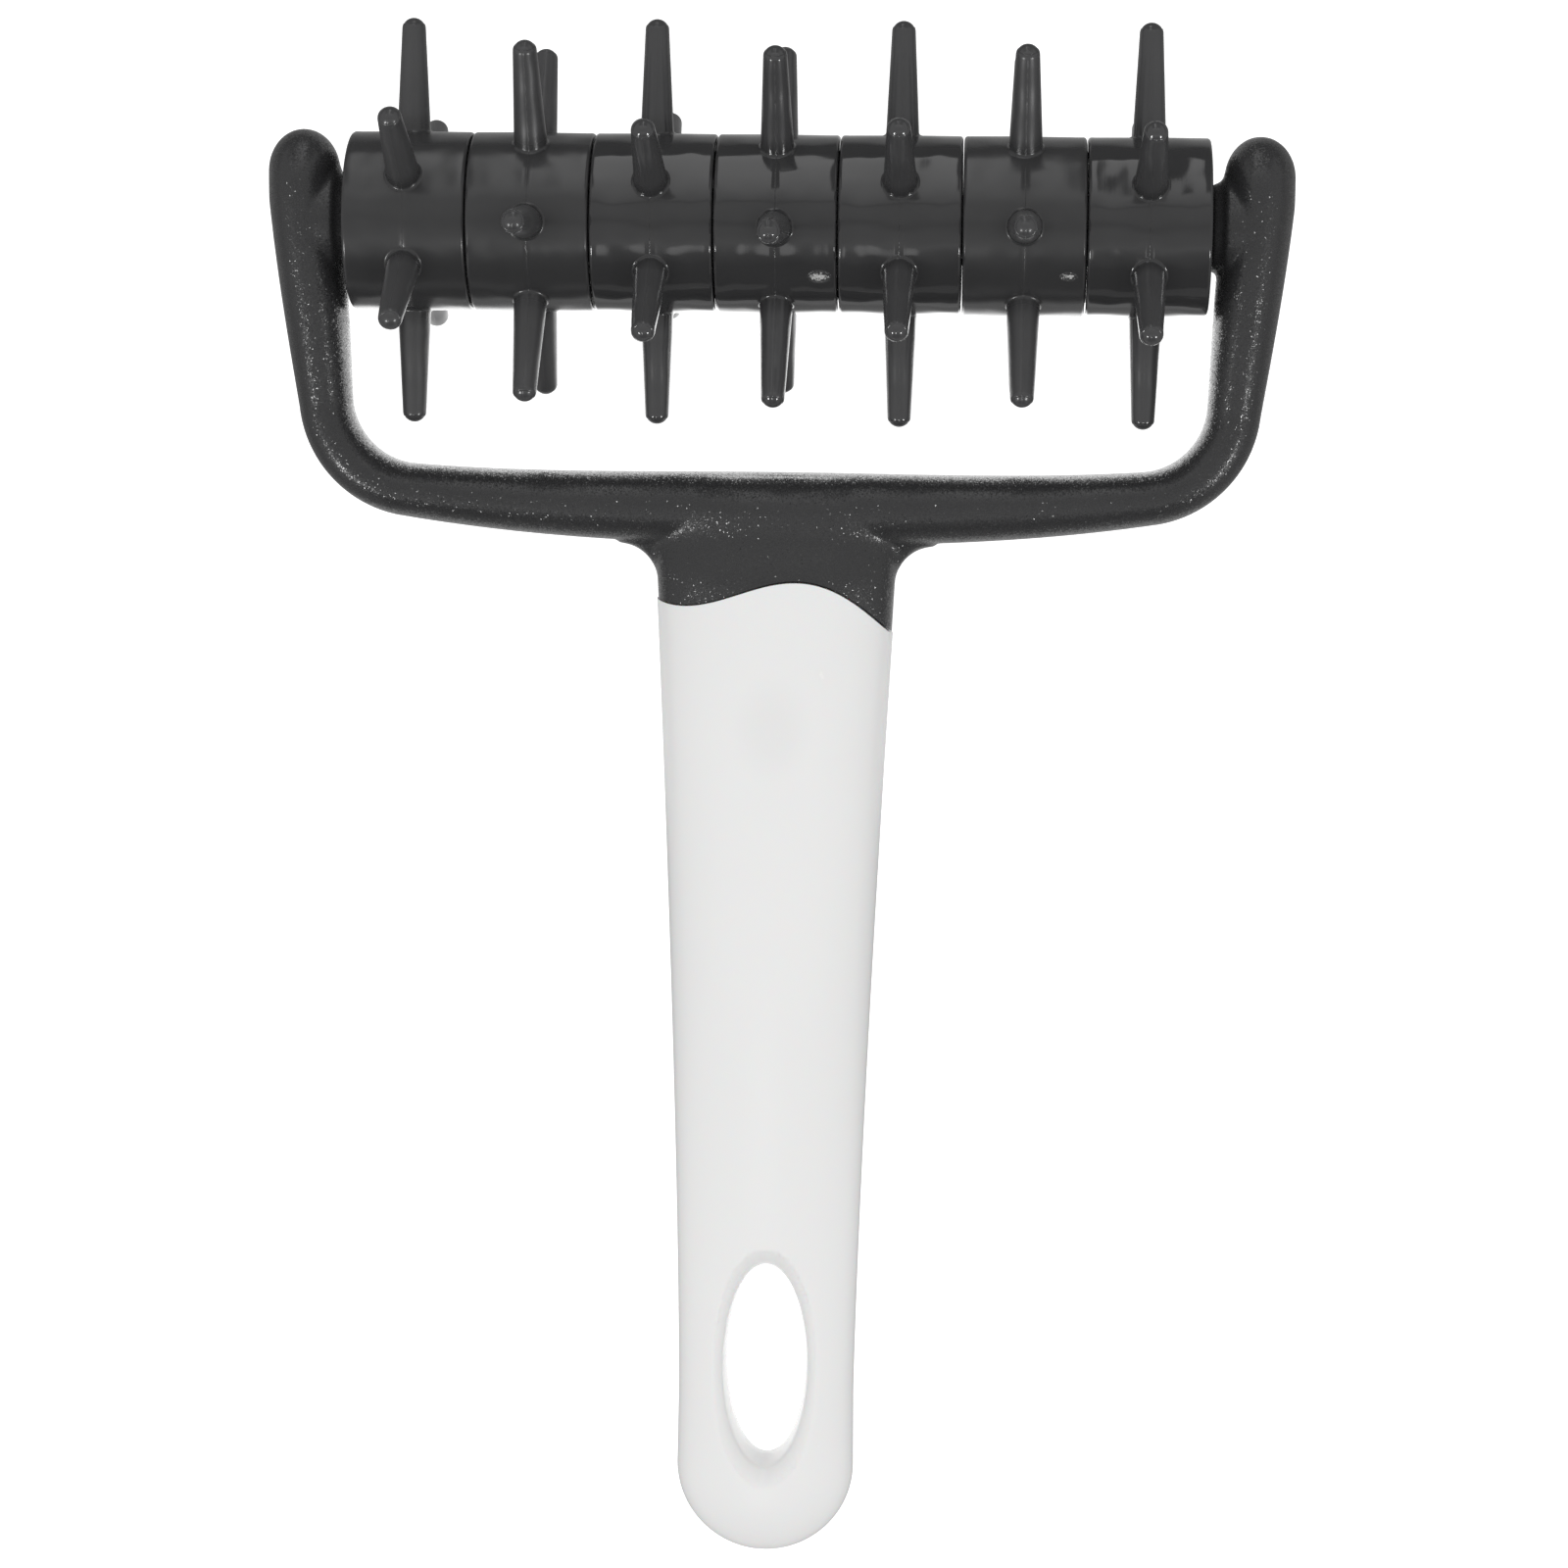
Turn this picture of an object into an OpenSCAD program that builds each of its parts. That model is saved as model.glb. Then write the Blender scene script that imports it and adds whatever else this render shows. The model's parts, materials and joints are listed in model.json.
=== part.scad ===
// Dough docker: a roller of spiked rings that turns between the arms of a fork with a long handle.
//
// All pieces are drawn about the roller's axis: X runs along it, the handle points to -Y and Z stands
// square to the fork. The whole is then tilted as it lies on a table, on its lowest spikes and on the
// underside of the handle's end, with the origin under the middle of its outline.
// "Depth" below always means a distance from the roller's axis toward the handle's end.

/* [Spiked rings] */
// Distance from the middle of one ring to the next
ring_pitch = 16; // [14:0.5:18]
// Gap between neighbouring rings
ring_gap = 0.3; // [0.2:0.05:0.6]
// Outer radius of a ring's barrel
barrel_r = 11.65; // [11:0.05:14]
// Wall of the barrel
barrel_wall = 2; // [1.5:0.1:2.6]
// Rounding of the barrel's two edges
barrel_edge_r = 0.7; // [0.3:0.1:1.2]
// Spikes around one ring
spike_count = 6; // [4:1:8]
// Distance from the axis to a spike's tip
spike_reach = 26.3; // [22:0.1:28]
// Radius of a spike's round tip
spike_tip_r = 1.55; // [1:0.05:1.9]
// Radius of a spike where it leaves the barrel
spike_foot_r = 2.15; // [1.9:0.05:2.8]
// Fillet around a spike's foot
spike_fillet_r = 0.4; // [0.3:0.1:1]
// Thickness of the web between barrel and hub
web_t = 2.4; // [1.6:0.1:4]
// Wall of the hub around the core tube
hub_wall = 2.4; // [2:0.1:3]
// How far the hub stays back from the barrel's edges
hub_recess = 1; // [0.6:0.1:2]
// Thickness of the gussets behind the spikes
gusset_t = 1.4; // [1:0.1:2]
// How far the gussets stay back from the barrel's edges
gusset_recess = 3; // [1.5:0.5:5]

/* [Core and bearings] */
// Diameter of the steel rod
rod_d = 4; // [3:0.1:4.6]
// Chamfer at the rod's ends
rod_chamfer = 0.4; // [0.2:0.1:0.8]
// Inner diameter of the core tube
tube_inner_d = 6; // [5.6:0.1:6.6]
// Outer diameter of the core tube
tube_outer_d = 8.4; // [8:0.1:9]
// Keys along the outside of the core tube
key_count = 3; // [2:1:4]
// Width of a key
key_w = 1.5; // [1:0.1:2]
// Height of a key above the tube
key_h = 0.9; // [0.6:0.1:1.2]
// Thickness of an end plug's flange
flange_t = 1; // [0.8:0.1:1.6]
// Length of an end plug's spigot in the tube
spigot_len = 9; // [5:0.5:16]

/* [Fork] */
// Width of an arm at its ear, along the roller's axis
ear_w = 9.2; // [8:0.1:11]
// Thickness of the fork at the ears
ear_t = 14.2; // [13.4:0.1:16]
// How far an ear rises past the roller's axis
ear_rise = 11.85; // [9:0.05:14]
// Length of the rounding at an ear's top
ear_cap = 5.4; // [4:0.1:7]
// Depth, negative upward, at which the arms start to lean inward
lean_start = -3; // [-5:0.5:0]
// Inward lean of the arms in degrees
arm_lean = 5.5; // [2:0.5:7]
// Depth at which the arms go over into the bends
bend_start = 24.1; // [22:0.1:32]
// Bend radius of the corners, on the centre line
bend_r = 12.5; // [9:0.5:14]
// Slope of the crossbar where it leaves the bends, in degrees: it bows toward the handle
bar_bow = 6.6; // [1:0.2:9]
// Width of the fork at the bends
bend_w = 7.1; // [6:0.1:8.4]
// Thickness of the fork at the bends
bend_t = 9.6; // [8:0.1:11]
// Width of the crossbar at its middle
bar_w = 9.6; // [8.6:0.1:11]
// Thickness of the crossbar at its middle
bar_t = 10.4; // [9:0.1:12]
// Share of the width that rolls off on the outer side
outer_roll = 0.48; // [0.4:0.01:0.5]
// Share of the width that rolls off on the inner side
inner_roll = 0.42; // [0.3:0.01:0.5]
// Radius of the round boss on each ear's inner side
boss_r = 5.75; // [5:0.05:6.5]
// How far a boss stands out of its ear
boss_proud = 1.6; // [1.2:0.1:3]
// Flare where a boss runs out into its ear
boss_flare = 1.3; // [0.6:0.1:1.6]
// Depth of the blind hole for the rod, from the boss's face
boss_hole_depth = 4; // [3:0.5:7]

/* [Neck and tang] */
// Length of the neck, from the crossbar's edge to the middle of the wave
neck_len = 7.85; // [7:0.05:12]
// Fillet between crossbar and neck, seen from above
neck_fillet = 5; // [3:0.5:6]
// Half of the raised neck's width where it starts on the crossbar
neck_start_w = 6; // [4:0.5:9]
// Length of the tang's close-fitting seat inside the handle's mouth
seat_len = 12; // [8:1:20]
// Thickness of the tang's blade
blade_t = 4; // [3:0.1:5]
// Width of the tang's blade at its root
blade_w = 19; // [15:0.5:20]
// Width of the tang's blade at its tip
blade_tip_w = 13; // [10:0.5:15]
// Length of each of the tang's two locating collars
collar_len = 3; // [2:0.5:5]

/* [Handle] */
// Length of the handle from the middle of the wave to its end
handle_len = 130.7; // [120:0.1:145]
// Width at the mouth
mouth_w = 31.5; // [29:0.1:33]
// Width at the waist before the hang hole
waist_w = 23.9; // [23:0.1:25]
// Distance of the waist from the handle's end
waist_back = 22.6; // [20:0.1:26]
// Width of the round end
end_w = 24.14; // [23.6:0.02:26]
// Thickness at the mouth
mouth_t = 15.5; // [14.6:0.1:17]
// Thickness at the palm
palm_t = 17; // [15.5:0.1:19]
// Distance of the thickest place from the mouth
palm_back = 40; // [30:1:50]
// Thickness at the hang hole
end_t = 11; // [10.4:0.1:13]
// Distance from the mouth at which the handle has thinned to that
thin_back = 92; // [80:1:100]
// Wall around the tang's cavity
handle_wall = 2.6; // [2:0.1:3]
// Depth of the cavity from the middle of the wave
cavity_len = 77; // [60:1:80]
// Height of the wave between neck and handle, from its middle
wave_h = 5.7; // [3:0.1:6]
// Length of one full wave
wave_len = 48; // [44:1:60]
// Sideways place of the wave's crest
wave_crest = 7.2; // [4:0.1:10]
// Slant of the wave, in depth per width
wave_slant = 0.4; // [0.2:0.05:0.5]

/* [Hang hole] */
// Distance of the hole's middle from the handle's end
hole_back = 26.9; // [25:0.1:32]
// Length of the hole at its rims
hole_len = 28.8; // [20:0.1:30]
// Width of the hole at its rims
hole_w = 11.7; // [8:0.1:13]
// How much narrower the hole is half way through
hole_waist = 0.9; // [0.2:0.1:1.6]
// Distance between the rims of the two dishes
rim_gap = 8; // [7:0.1:9]
// How far a dish spreads around the rim
dish_w = 2.1; // [1:0.1:2.4]

/* [Fits] */
// Radial clearance of the rod in the bosses' holes
rod_fit = 0.02; // [0.01:0.01:0.05]
// Radial clearance of the end plugs on the rod
bearing_fit = 0.05; // [0.02:0.01:0.1]
// Radial clearance of the end plugs in the tube
plug_fit = 0.02; // [0.01:0.01:0.05]
// Radial clearance of the rings on the tube
ring_fit = 0.1; // [0.05:0.01:0.15]
// Clearance beside and above the keys
key_fit = 0.25; // [0.22:0.01:0.3]
// Radial clearance of an end plug's flange in the outer ring
flange_fit = 0.2; // [0.1:0.05:0.4]
// Gap between a boss and the roller's end
end_gap = 0.4; // [0.3:0.05:0.8]
// Clearance of the rod at the bottom of each blind hole
rod_end_fit = 0.1; // [0.05:0.05:0.3]
// Clearance of the tang in the handle
tang_fit = 0.1; // [0.05:0.05:0.2]
// Gap along the wave between neck and handle
wave_gap = 0.25; // [0.2:0.05:0.4]
// How far the handle stands proud of the neck at the wave
mouth_step = 0.15; // [0:0.05:0.3]

/* [Hidden] */

ring_count = 7;
// Where each ring sits within the play of its keys, in degrees
ring_play = [1.8, 1.2, -1.5, -1, -0.5, 1, -0.9];

dark_fork = "#3a3a3c";
dark_ring = "#434345";
white_grip = "#e9e9e6";
steel = "#b9bcc0";
dark_core = "#3c3c3e";

// Steps along a section's ring, a bend and a straight
section_steps = 32;
core_steps = 24;
roll_steps = 6;
curve_steps = 10;
round_steps = 64;
edge_steps = 4;
cap_steps = 6;
// Overlap that makes two shapes of one moulding into one, and cutters pass their walls
sink = 1;
// Roundness of the handle's section: 2 is an ellipse
section_round = 2.3;
// Roundness of the handle's end, seen from the side
end_round = 2.6;
// Smallest share to which a rounded end narrows before it is closed
tip_share = 0.1;
// How the handle's taper eases into its waist: 1 is straight
taper_ease = 1.4;
// How the neck's saddle widens along the crossbar, and its thickness against the bar's where it starts
saddle_ease = 1.6;
saddle_start_t = 0.85;
// Steepest angle on an ear's rounded top, and the last angle of a section's roll-off before its flat
ear_top_angle = 84;
roll_end_angle = 89;
// How far a spike's fillet starts under the barrel's surface, which curves away beside it
fillet_drop = 0.25;
// Small rounding on the face of a boss
boss_edge_r = 0.3;
// The tilt on the table is searched between these angles, halving the range each round
least_tilt = 1;
most_tilt = 20;
tilt_rounds = 40;

ring_w = ring_pitch - ring_gap;
roller_half = ((ring_count - 1) * ring_pitch + ring_w) / 2;
spike_half_angle = 180 / spike_count;
key_angle = spike_half_angle / 2;
tip_centre = spike_reach - spike_tip_r;
barrel_in_r = barrel_r - barrel_wall;
hub_bore_r = tube_outer_d / 2 + ring_fit;
hub_r = hub_bore_r + hub_wall;

boss_face = roller_half + end_gap;
ear_x = boss_face + boss_proud + ear_w / 2;
rod_half = boss_face + boss_hole_depth - rod_end_fit;
bend_turn = 90 - arm_lean - bar_bow;
arm_foot = [ear_x - (bend_start - lean_start) * tan(arm_lean), bend_start];
bend_centre = arm_foot - bend_r * [cos(arm_lean), sin(arm_lean)];
bar_root = bend_centre + bend_r * [sin(bar_bow), cos(bar_bow)];
// The crossbar's centre line is a cubic that starts at the bend's slope and is level in the middle
bar_sag = bar_root[0] * tan(bar_bow) / 3;
bar_depth = bar_root[1] + bar_sag;
bar_edge = bar_depth + bar_w / 2;

wave_depth = bar_edge + neck_len;
end_depth = wave_depth + handle_len;
waist_depth = end_depth - waist_back;
cap_depth = end_depth - end_w / 2;
palm_depth = wave_depth + palm_back;
thin_depth = wave_depth + thin_back;
cavity_depth = wave_depth + cavity_len;
hole_depth = end_depth - hole_back;
hole_reach = palm_t;

function mix(a, b, share) = a + (b - a) * share;
function clamp01(v) = max(0, min(1, v));
function smooth(v) = let (u = clamp01(v)) u * u * (3 - 2 * u);
function signed_power(v, p) = sign(v) * pow(abs(v), p);

// Direction of a spike: 0 stands square to the fork, 90 points away from the handle
function ring_phase(i) = i % 2 == 0 ? spike_half_angle : 0;
function spike_angle(i, k) = ring_phase(i) + k * 2 * spike_half_angle + ring_play[i % len(ring_play)];

function roller_low(t) = max([for (i = [0:ring_count - 1], k = [0:spike_count - 1])
    -tip_centre * cos(spike_angle(i, k) - t) + spike_tip_r]);
function handle_low(t) = max([for (d = handle_depths) d * sin(t) + handle_half_t(d) * cos(t)]);
function find_tilt(low, high, rounds) = let (middle = (low + high) / 2)
    rounds == 0 ? middle
    : roller_low(middle) > handle_low(middle) ? find_tilt(middle, high, rounds - 1)
    : find_tilt(low, middle, rounds - 1);

// Half of the handle's width: it narrows from the mouth to the waist and ends in a half circle
function taper_half_w(d) = mix(waist_w, mouth_w,
    pow(max(0, (waist_depth - d) / (waist_depth - wave_depth)), taper_ease)) / 2;
function handle_half_w(d) = d <= waist_depth ? taper_half_w(d)
    : d <= cap_depth ? mix(waist_w, end_w, (d - waist_depth) / (cap_depth - waist_depth)) / 2
    : end_w / 2 * max(tip_share, sqrt(max(0, 1 - pow((d - cap_depth) / (end_w / 2), 2))));

// Half of the handle's thickness: it swells to the palm, thins to the hang hole and rounds off
function handle_full_t(d) = d <= palm_depth
    ? mix(mouth_t, palm_t, smooth((d - wave_depth) / palm_back))
    : mix(palm_t, end_t, smooth((d - palm_depth) / (thin_depth - palm_depth)));
function end_share(d) = d <= cap_depth ? 1
    : max(tip_share, pow(max(0, 1 - pow((d - cap_depth) / (end_w / 2), end_round)), 1 / end_round));
function handle_half_t(d) = handle_full_t(d) / 2 * end_share(d);

// Depths of the handle's sections: even steps to the round end, then steps of equal angle
handle_front = wave_depth - wave_h - wave_slant * mouth_w / 2 - sink;
handle_depths = concat(
    [for (i = [0:2 * curve_steps - 1]) mix(handle_front, cap_depth, i / (2 * curve_steps))],
    [for (i = [0:curve_steps]) cap_depth + end_w / 2 * sin(90 * i / curve_steps)]);

// A closed section across the handle at a depth, with half sizes a and b
function cross_ring(depth, a, b, steps) = [for (i = [0:steps - 1]) let (q = 360 * i / steps)
    [a * signed_power(cos(q), 2 / section_round), -depth, b * signed_power(sin(q), 2 / section_round)]];

// The neck's half sizes: a saddle that rises out of the crossbar and fillets into the handle
function neck_half_w(d) = d < bar_edge
    ? mix(neck_start_w, mouth_w / 2 + neck_fillet, pow(clamp01((d - bar_depth) * 2 / bar_w), saddle_ease))
    : handle_half_w(d) - mouth_step + (d >= fillet_end ? 0
        : neck_fillet - sqrt(max(0, neck_fillet * neck_fillet - pow(fillet_end - d, 2))));
function neck_rise(d) = smooth((d - bar_depth) / (wave_depth - bar_depth));
function neck_half_t(d) = mix(bar_t * saddle_start_t, mouth_t, neck_rise(d)) / 2
    - mouth_step * clamp01((d - bar_edge) / neck_fillet);
neck_back = wave_depth + wave_h + wave_slant * mouth_w / 2 + sink;
neck_front = bar_depth - bar_w / 4;
fillet_end = bar_edge + neck_fillet;
neck_depths = concat(
    [for (i = [0:curve_steps - 1]) mix(neck_front, bar_edge, i / curve_steps)],
    [for (i = [0:curve_steps - 1]) mix(bar_edge, fillet_end, 1 - cos(90 * i / curve_steps))],
    [for (i = [0:edge_steps]) mix(fillet_end, neck_back, i / edge_steps)]);

// The cavity's half sizes, and what the tang leaves of it
function cavity_half_w(d) = handle_half_w(d) - handle_wall;
function cavity_half_t(d) = handle_full_t(d) / 2 - handle_wall;
cavity_depths = [for (i = [0:curve_steps]) mix(handle_front - sink, cavity_depth, i / curve_steps)];

// Depths of the tang's seat, collars and tip
seat_end = neck_back + seat_len;
tang_end = cavity_depth - sink;
collar_step = 1;
collar_1 = mix(seat_end, tang_end, 1 / 2) - collar_step - collar_len / 2;
collar_2 = tang_end - collar_len - 2 * collar_step - sink;
function blade_half_w(d) = mix(blade_w, blade_tip_w, (d - seat_end) / (tang_end - seat_end)) / 2;
function seat_ring(d) = cross_ring(d, cavity_half_w(d) - tang_fit, cavity_half_t(d) - tang_fit, core_steps);
function blade_ring(d) = cross_ring(d, blade_half_w(d), blade_t / 2, core_steps);
function collar_rings(d) = [blade_ring(d), seat_ring(d + collar_step),
    seat_ring(d + collar_step + collar_len), blade_ring(d + 2 * collar_step + collar_len)];

// Depth of the wave between neck and handle at a place across it
function wave_at(x) = wave_depth + wave_slant * x - wave_h * cos(360 * (x - wave_crest) / wave_len);

// Stations along one half of the fork, from the ear's top to the crossbar's middle. Each holds the
// place of the centre line (across, depth), the direction outward, the width and the thickness.
function ear_share(up, cap) = max(tip_share, sqrt(max(0, 1 - pow(max(0, up - ear_rise + cap) / cap, 2))));
function ear_station(up) = [ear_x, -up, 1, 0, ear_w * ear_share(up, ear_cap),
    ear_t * ear_share(up, ear_t / 2)];
function arm_station(share) = let (p = mix([ear_x, lean_start], arm_foot, share), s = sin(90 * (1 - share)))
    [p[0], p[1], cos(arm_lean), sin(arm_lean), mix(bend_w, ear_w, s), mix(bend_t, ear_t, s)];
function bend_station(share) = let (q = arm_lean + share * bend_turn)
    [bend_centre[0] + bend_r * cos(q), bend_centre[1] + bend_r * sin(q), cos(q), sin(q), bend_w, bend_t];
function bar_station(share) = let (u = 1 - share, slope = atan(tan(bar_bow) * u * u), s = sin(90 * share))
    [bar_root[0] * u, bar_depth - bar_sag * pow(u, 3), sin(slope), cos(slope),
        mix(bend_w, bar_w, s), mix(bend_t, bar_t, s)];
fork_half = concat(
    [for (i = [0:cap_steps]) ear_station(ear_rise - ear_cap
        + ear_cap * sin(ear_top_angle * (1 - i / cap_steps)))],
    [for (i = [0:curve_steps - 1]) arm_station(i / curve_steps)],
    [for (i = [0:curve_steps - 1]) bend_station(i / curve_steps)],
    [for (i = [0:curve_steps]) bar_station(i / curve_steps)]);
fork_stations = concat(fork_half,
    [for (i = [len(fork_half) - 2:-1:0]) let (s = fork_half[i]) [-s[0], s[1], -s[2], s[3], s[4], s[5]]]);

// Outline of the fork's section, outward and up: it rolls off on both sides of a narrow flat
function roll_point(w, t, q) = let (roll = (cos(q) > 0 ? outer_roll : inner_roll) * w)
    [sign(cos(q)) * (w / 2 - roll) + roll * cos(q), t / 2 * sin(q)];
roll_angles = concat(
    [for (i = [0:roll_steps]) roll_end_angle * i / roll_steps],
    [for (i = [roll_steps:-1:0]) 180 - roll_end_angle * i / roll_steps],
    [for (i = [1:roll_steps]) 180 + roll_end_angle * i / roll_steps],
    [for (i = [roll_steps:-1:1]) 360 - roll_end_angle * i / roll_steps]);
function fork_ring(s) = [for (q = roll_angles) let (p = roll_point(s[4], s[5], q))
    [s[0] + p[0] * s[2], -s[1] - p[0] * s[3], p[1]]];

// The tilt at which the lowest spike and the handle's end both meet the table
tilt = find_tilt(least_tilt, most_tilt, tilt_rounds);
axle_height = roller_low(tilt);
outline_front = max([for (i = [0:ring_count - 1], k = [0:spike_count - 1])
    tip_centre * sin(spike_angle(i, k) - tilt) + spike_tip_r]);
outline_back = max([for (d = handle_depths) d * cos(tilt) + handle_half_t(d) * sin(tilt)]);
axle_y = (outline_back - outline_front) / 2;

// Closed skin through a list of sections that all have as many points
module skin(sections) {
    n = len(sections[0]);
    last = len(sections) - 1;
    sides = [for (i = [0:last - 1], j = [0:n - 1]) let (a = i * n + j, b = i * n + (j + 1) % n)
        each [[b, a, a + n], [b, a + n, b + n]]];
    first_cap = [for (j = [0:n - 1]) j];
    last_cap = [for (j = [n - 1:-1:0]) last * n + j];
    polyhedron([for (s = sections) each s], concat(sides, [first_cap, last_cap]), convexity = 8);
}

// A shape turned from its outline, given as points of distance along X and radius
module turned(outline) {
    rotate([0, 90, 0])
        rotate_extrude($fn = round_steps)
            polygon([for (p = outline) [p[1], p[0]]]);
}

module round_bar(radius, from, to) {
    translate([from, 0, 0])
        rotate([0, 90, 0])
            cylinder(r = radius, h = to - from, $fn = round_steps);
}

// Lays the docker down on the table
module laid_down() {
    translate([0, axle_y, axle_height])
        rotate([tilt, 0, 0])
            children();
}

// Everything on one side of the wave: side 1 is the neck's, -1 the handle's
module wave_side(side) {
    half = mouth_w;
    edge = [for (i = [0:section_steps * 2]) let (x = mix(-half, half, i / (section_steps * 2)))
        [x, -wave_at(x) + side * wave_gap / 2]];
    far = side > 0 ? sink : -end_depth - sink;
    translate([0, 0, -palm_t])
        linear_extrude(height = 2 * palm_t)
            polygon(concat(edge, [[half, far], [-half, far]]));
}

module boss() {
    flare = [for (i = [0:roll_steps]) let (q = 90 * i / roll_steps)
        [boss_face + boss_proud - boss_flare * (1 - sin(q)), boss_r + boss_flare * (1 - cos(q))]];
    turned(concat([[boss_face, 0], [boss_face, boss_r - boss_edge_r], [boss_face + boss_edge_r, boss_r]],
        flare, [[ear_x, boss_r + boss_flare], [ear_x, 0]]));
}

module fork() {
    color(dark_fork)
        laid_down()
            difference() {
                union() {
                    skin([for (s = fork_stations) fork_ring(s)]);
                    intersection() {
                        skin([for (d = neck_depths)
                            cross_ring(d, neck_half_w(d), neck_half_t(d), core_steps)]);
                        wave_side(1);
                    }
                    tang();
                    boss();
                    mirror([1, 0, 0])
                        boss();
                }
                for (side = [0, 1])
                    mirror([side, 0, 0])
                        round_bar(rod_d / 2 + rod_fit, boss_face - sink, boss_face + boss_hole_depth);
            }
}

// The part of the fork inside the handle: a close seat, a blade and two locating collars
module tang() {
    skin(concat([for (i = [0:edge_steps]) seat_ring(mix(bar_edge + sink, seat_end, i / edge_steps))],
        [blade_ring(seat_end + 2 * collar_step)], collar_rings(collar_1), collar_rings(collar_2),
        [blade_ring(tang_end)]));
}

module handle() {
    color(white_grip)
        laid_down()
            difference() {
                intersection() {
                    skin([for (d = handle_depths)
                        cross_ring(d, handle_half_w(d), handle_half_t(d), section_steps)]);
                    wave_side(-1);
                }
                skin([for (d = cavity_depths)
                    cross_ring(d, cavity_half_w(d), cavity_half_t(d), core_steps)]);
                hang_hole();
            }
}

// Half sizes of the hang hole at a height: narrowest half way through, dished outside its rims
function hole_spread(z) = abs(z) <= rim_gap / 2
    ? -hole_waist / 2 * (1 - pow(2 * z / rim_gap, 2))
    : dish_w * (abs(z) - rim_gap / 2) / ((end_t - rim_gap) / 2);
module hang_hole() {
    heights = concat([-hole_reach, -rim_gap / 2], [for (i = [-2:2]) i * rim_gap / 6],
        [rim_gap / 2, hole_reach]);
    translate([0, -hole_depth, 0])
        skin([for (z = heights) [for (i = [0:section_steps - 1]) let (q = 360 * i / section_steps)
            [(hole_w / 2 + hole_spread(z)) * cos(q), (hole_len / 2 + hole_spread(z)) * sin(q), z]]]);
}

module axle_rod() {
    color(steel)
        laid_down()
            turned([[-rod_half, 0], [-rod_half, rod_d / 2 - rod_chamfer],
                [-rod_half + rod_chamfer, rod_d / 2], [rod_half - rod_chamfer, rod_d / 2],
                [rod_half, rod_d / 2 - rod_chamfer], [rod_half, 0]]);
}

module core_tube() {
    tube_half = roller_half - flange_t;
    color(dark_core)
        laid_down()
            difference() {
                union() {
                    round_bar(tube_outer_d / 2, -tube_half, tube_half);
                    for (k = [0:key_count - 1])
                        rotate([-key_angle - 360 * k / key_count, 0, 0])
                            translate([-tube_half, -key_w / 2, tube_inner_d / 2])
                                cube([2 * tube_half, key_w, tube_outer_d / 2 - tube_inner_d / 2 + key_h]);
                }
                round_bar(tube_inner_d / 2, -tube_half - sink, tube_half + sink);
            }
}

// A plug whose flange closes the roller's end and whose bore runs on the rod
module end_plug(side) {
    flange_r = barrel_in_r - flange_fit;
    spigot_end = roller_half - flange_t - spigot_len;
    color(dark_core)
        laid_down()
            mirror([side < 0 ? 1 : 0, 0, 0])
                difference() {
                    union() {
                        round_bar(flange_r, roller_half - flange_t, roller_half);
                        round_bar(tube_inner_d / 2 - plug_fit, spigot_end, roller_half);
                    }
                    round_bar(rod_d / 2 + bearing_fit, spigot_end - sink, roller_half + sink);
                }
}

module end_plug_left() {
    end_plug(-1);
}

module end_plug_right() {
    end_plug(1);
}

// One spike standing on the barrel: a slim cone with a round tip and a filleted foot
module spike() {
    lean = asin((spike_foot_r - spike_tip_r) / (tip_centre - barrel_r));
    root = barrel_r - barrel_wall / 2;
    foot = barrel_r - fillet_drop;
    cone_top = tip_centre + spike_tip_r * sin(lean);
    translate([0, 0, root])
        cylinder(r1 = spike_foot_r + (barrel_r - root) * tan(lean), r2 = spike_tip_r * cos(lean),
            h = cone_top - root, $fn = round_steps);
    translate([0, 0, tip_centre])
        sphere(r = spike_tip_r, $fn = round_steps);
    rotate_extrude($fn = round_steps)
        polygon(concat([[0, root], [spike_foot_r + spike_fillet_r, root]],
            [for (i = [0:edge_steps - 1]) let (q = 90 * i / edge_steps)
                [spike_foot_r + spike_fillet_r * (1 - sin(q)), foot + spike_fillet_r * (1 - cos(q))]],
            [[0, foot + spike_fillet_r]]));
}

// A ring with its spikes turned to their phase and its keyways over the tube's keys
module spiked_ring(phase) {
    half = ring_w / 2;
    gusset_foot = hub_r - sink;
    gusset_top = barrel_in_r + barrel_wall / 4;
    edge = [for (i = [0:edge_steps]) let (q = 90 * i / edge_steps)
        [half - barrel_edge_r * (1 - sin(q)), barrel_r - barrel_edge_r * (1 - cos(q))]];
    difference() {
        union() {
            turned(concat([[-half, barrel_in_r]], [for (i = [edge_steps:-1:0]) [-edge[i][0], edge[i][1]]],
                edge, [[half, barrel_in_r]]));
            turned([[-half + hub_recess, 0], [-half + hub_recess, hub_r], [-web_t / 2, hub_r],
                [-web_t / 2, gusset_top], [web_t / 2, gusset_top], [web_t / 2, hub_r],
                [half - hub_recess, hub_r], [half - hub_recess, 0]]);
            for (k = [0:spike_count - 1])
                rotate([-phase - 2 * spike_half_angle * k, 0, 0]) {
                    spike();
                    translate([-half + gusset_recess, -gusset_t / 2, gusset_foot])
                        cube([2 * (half - gusset_recess), gusset_t, gusset_top - gusset_foot]);
                }
        }
        round_bar(hub_bore_r, -ring_w, ring_w);
        for (k = [0:key_count - 1])
            rotate([-key_angle - 360 * k / key_count, 0, 0])
                translate([-ring_w, -key_w / 2 - key_fit, 0])
                    cube([2 * ring_w, key_w + 2 * key_fit, tube_outer_d / 2 + key_h + key_fit]);
    }
}

module spike_ring(number) {
    i = number - 1;
    color(dark_ring)
        laid_down()
            translate([(i - (ring_count - 1) / 2) * ring_pitch, 0, 0])
                rotate([-ring_play[i % len(ring_play)], 0, 0])
                    spiked_ring(ring_phase(i));
}

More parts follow.
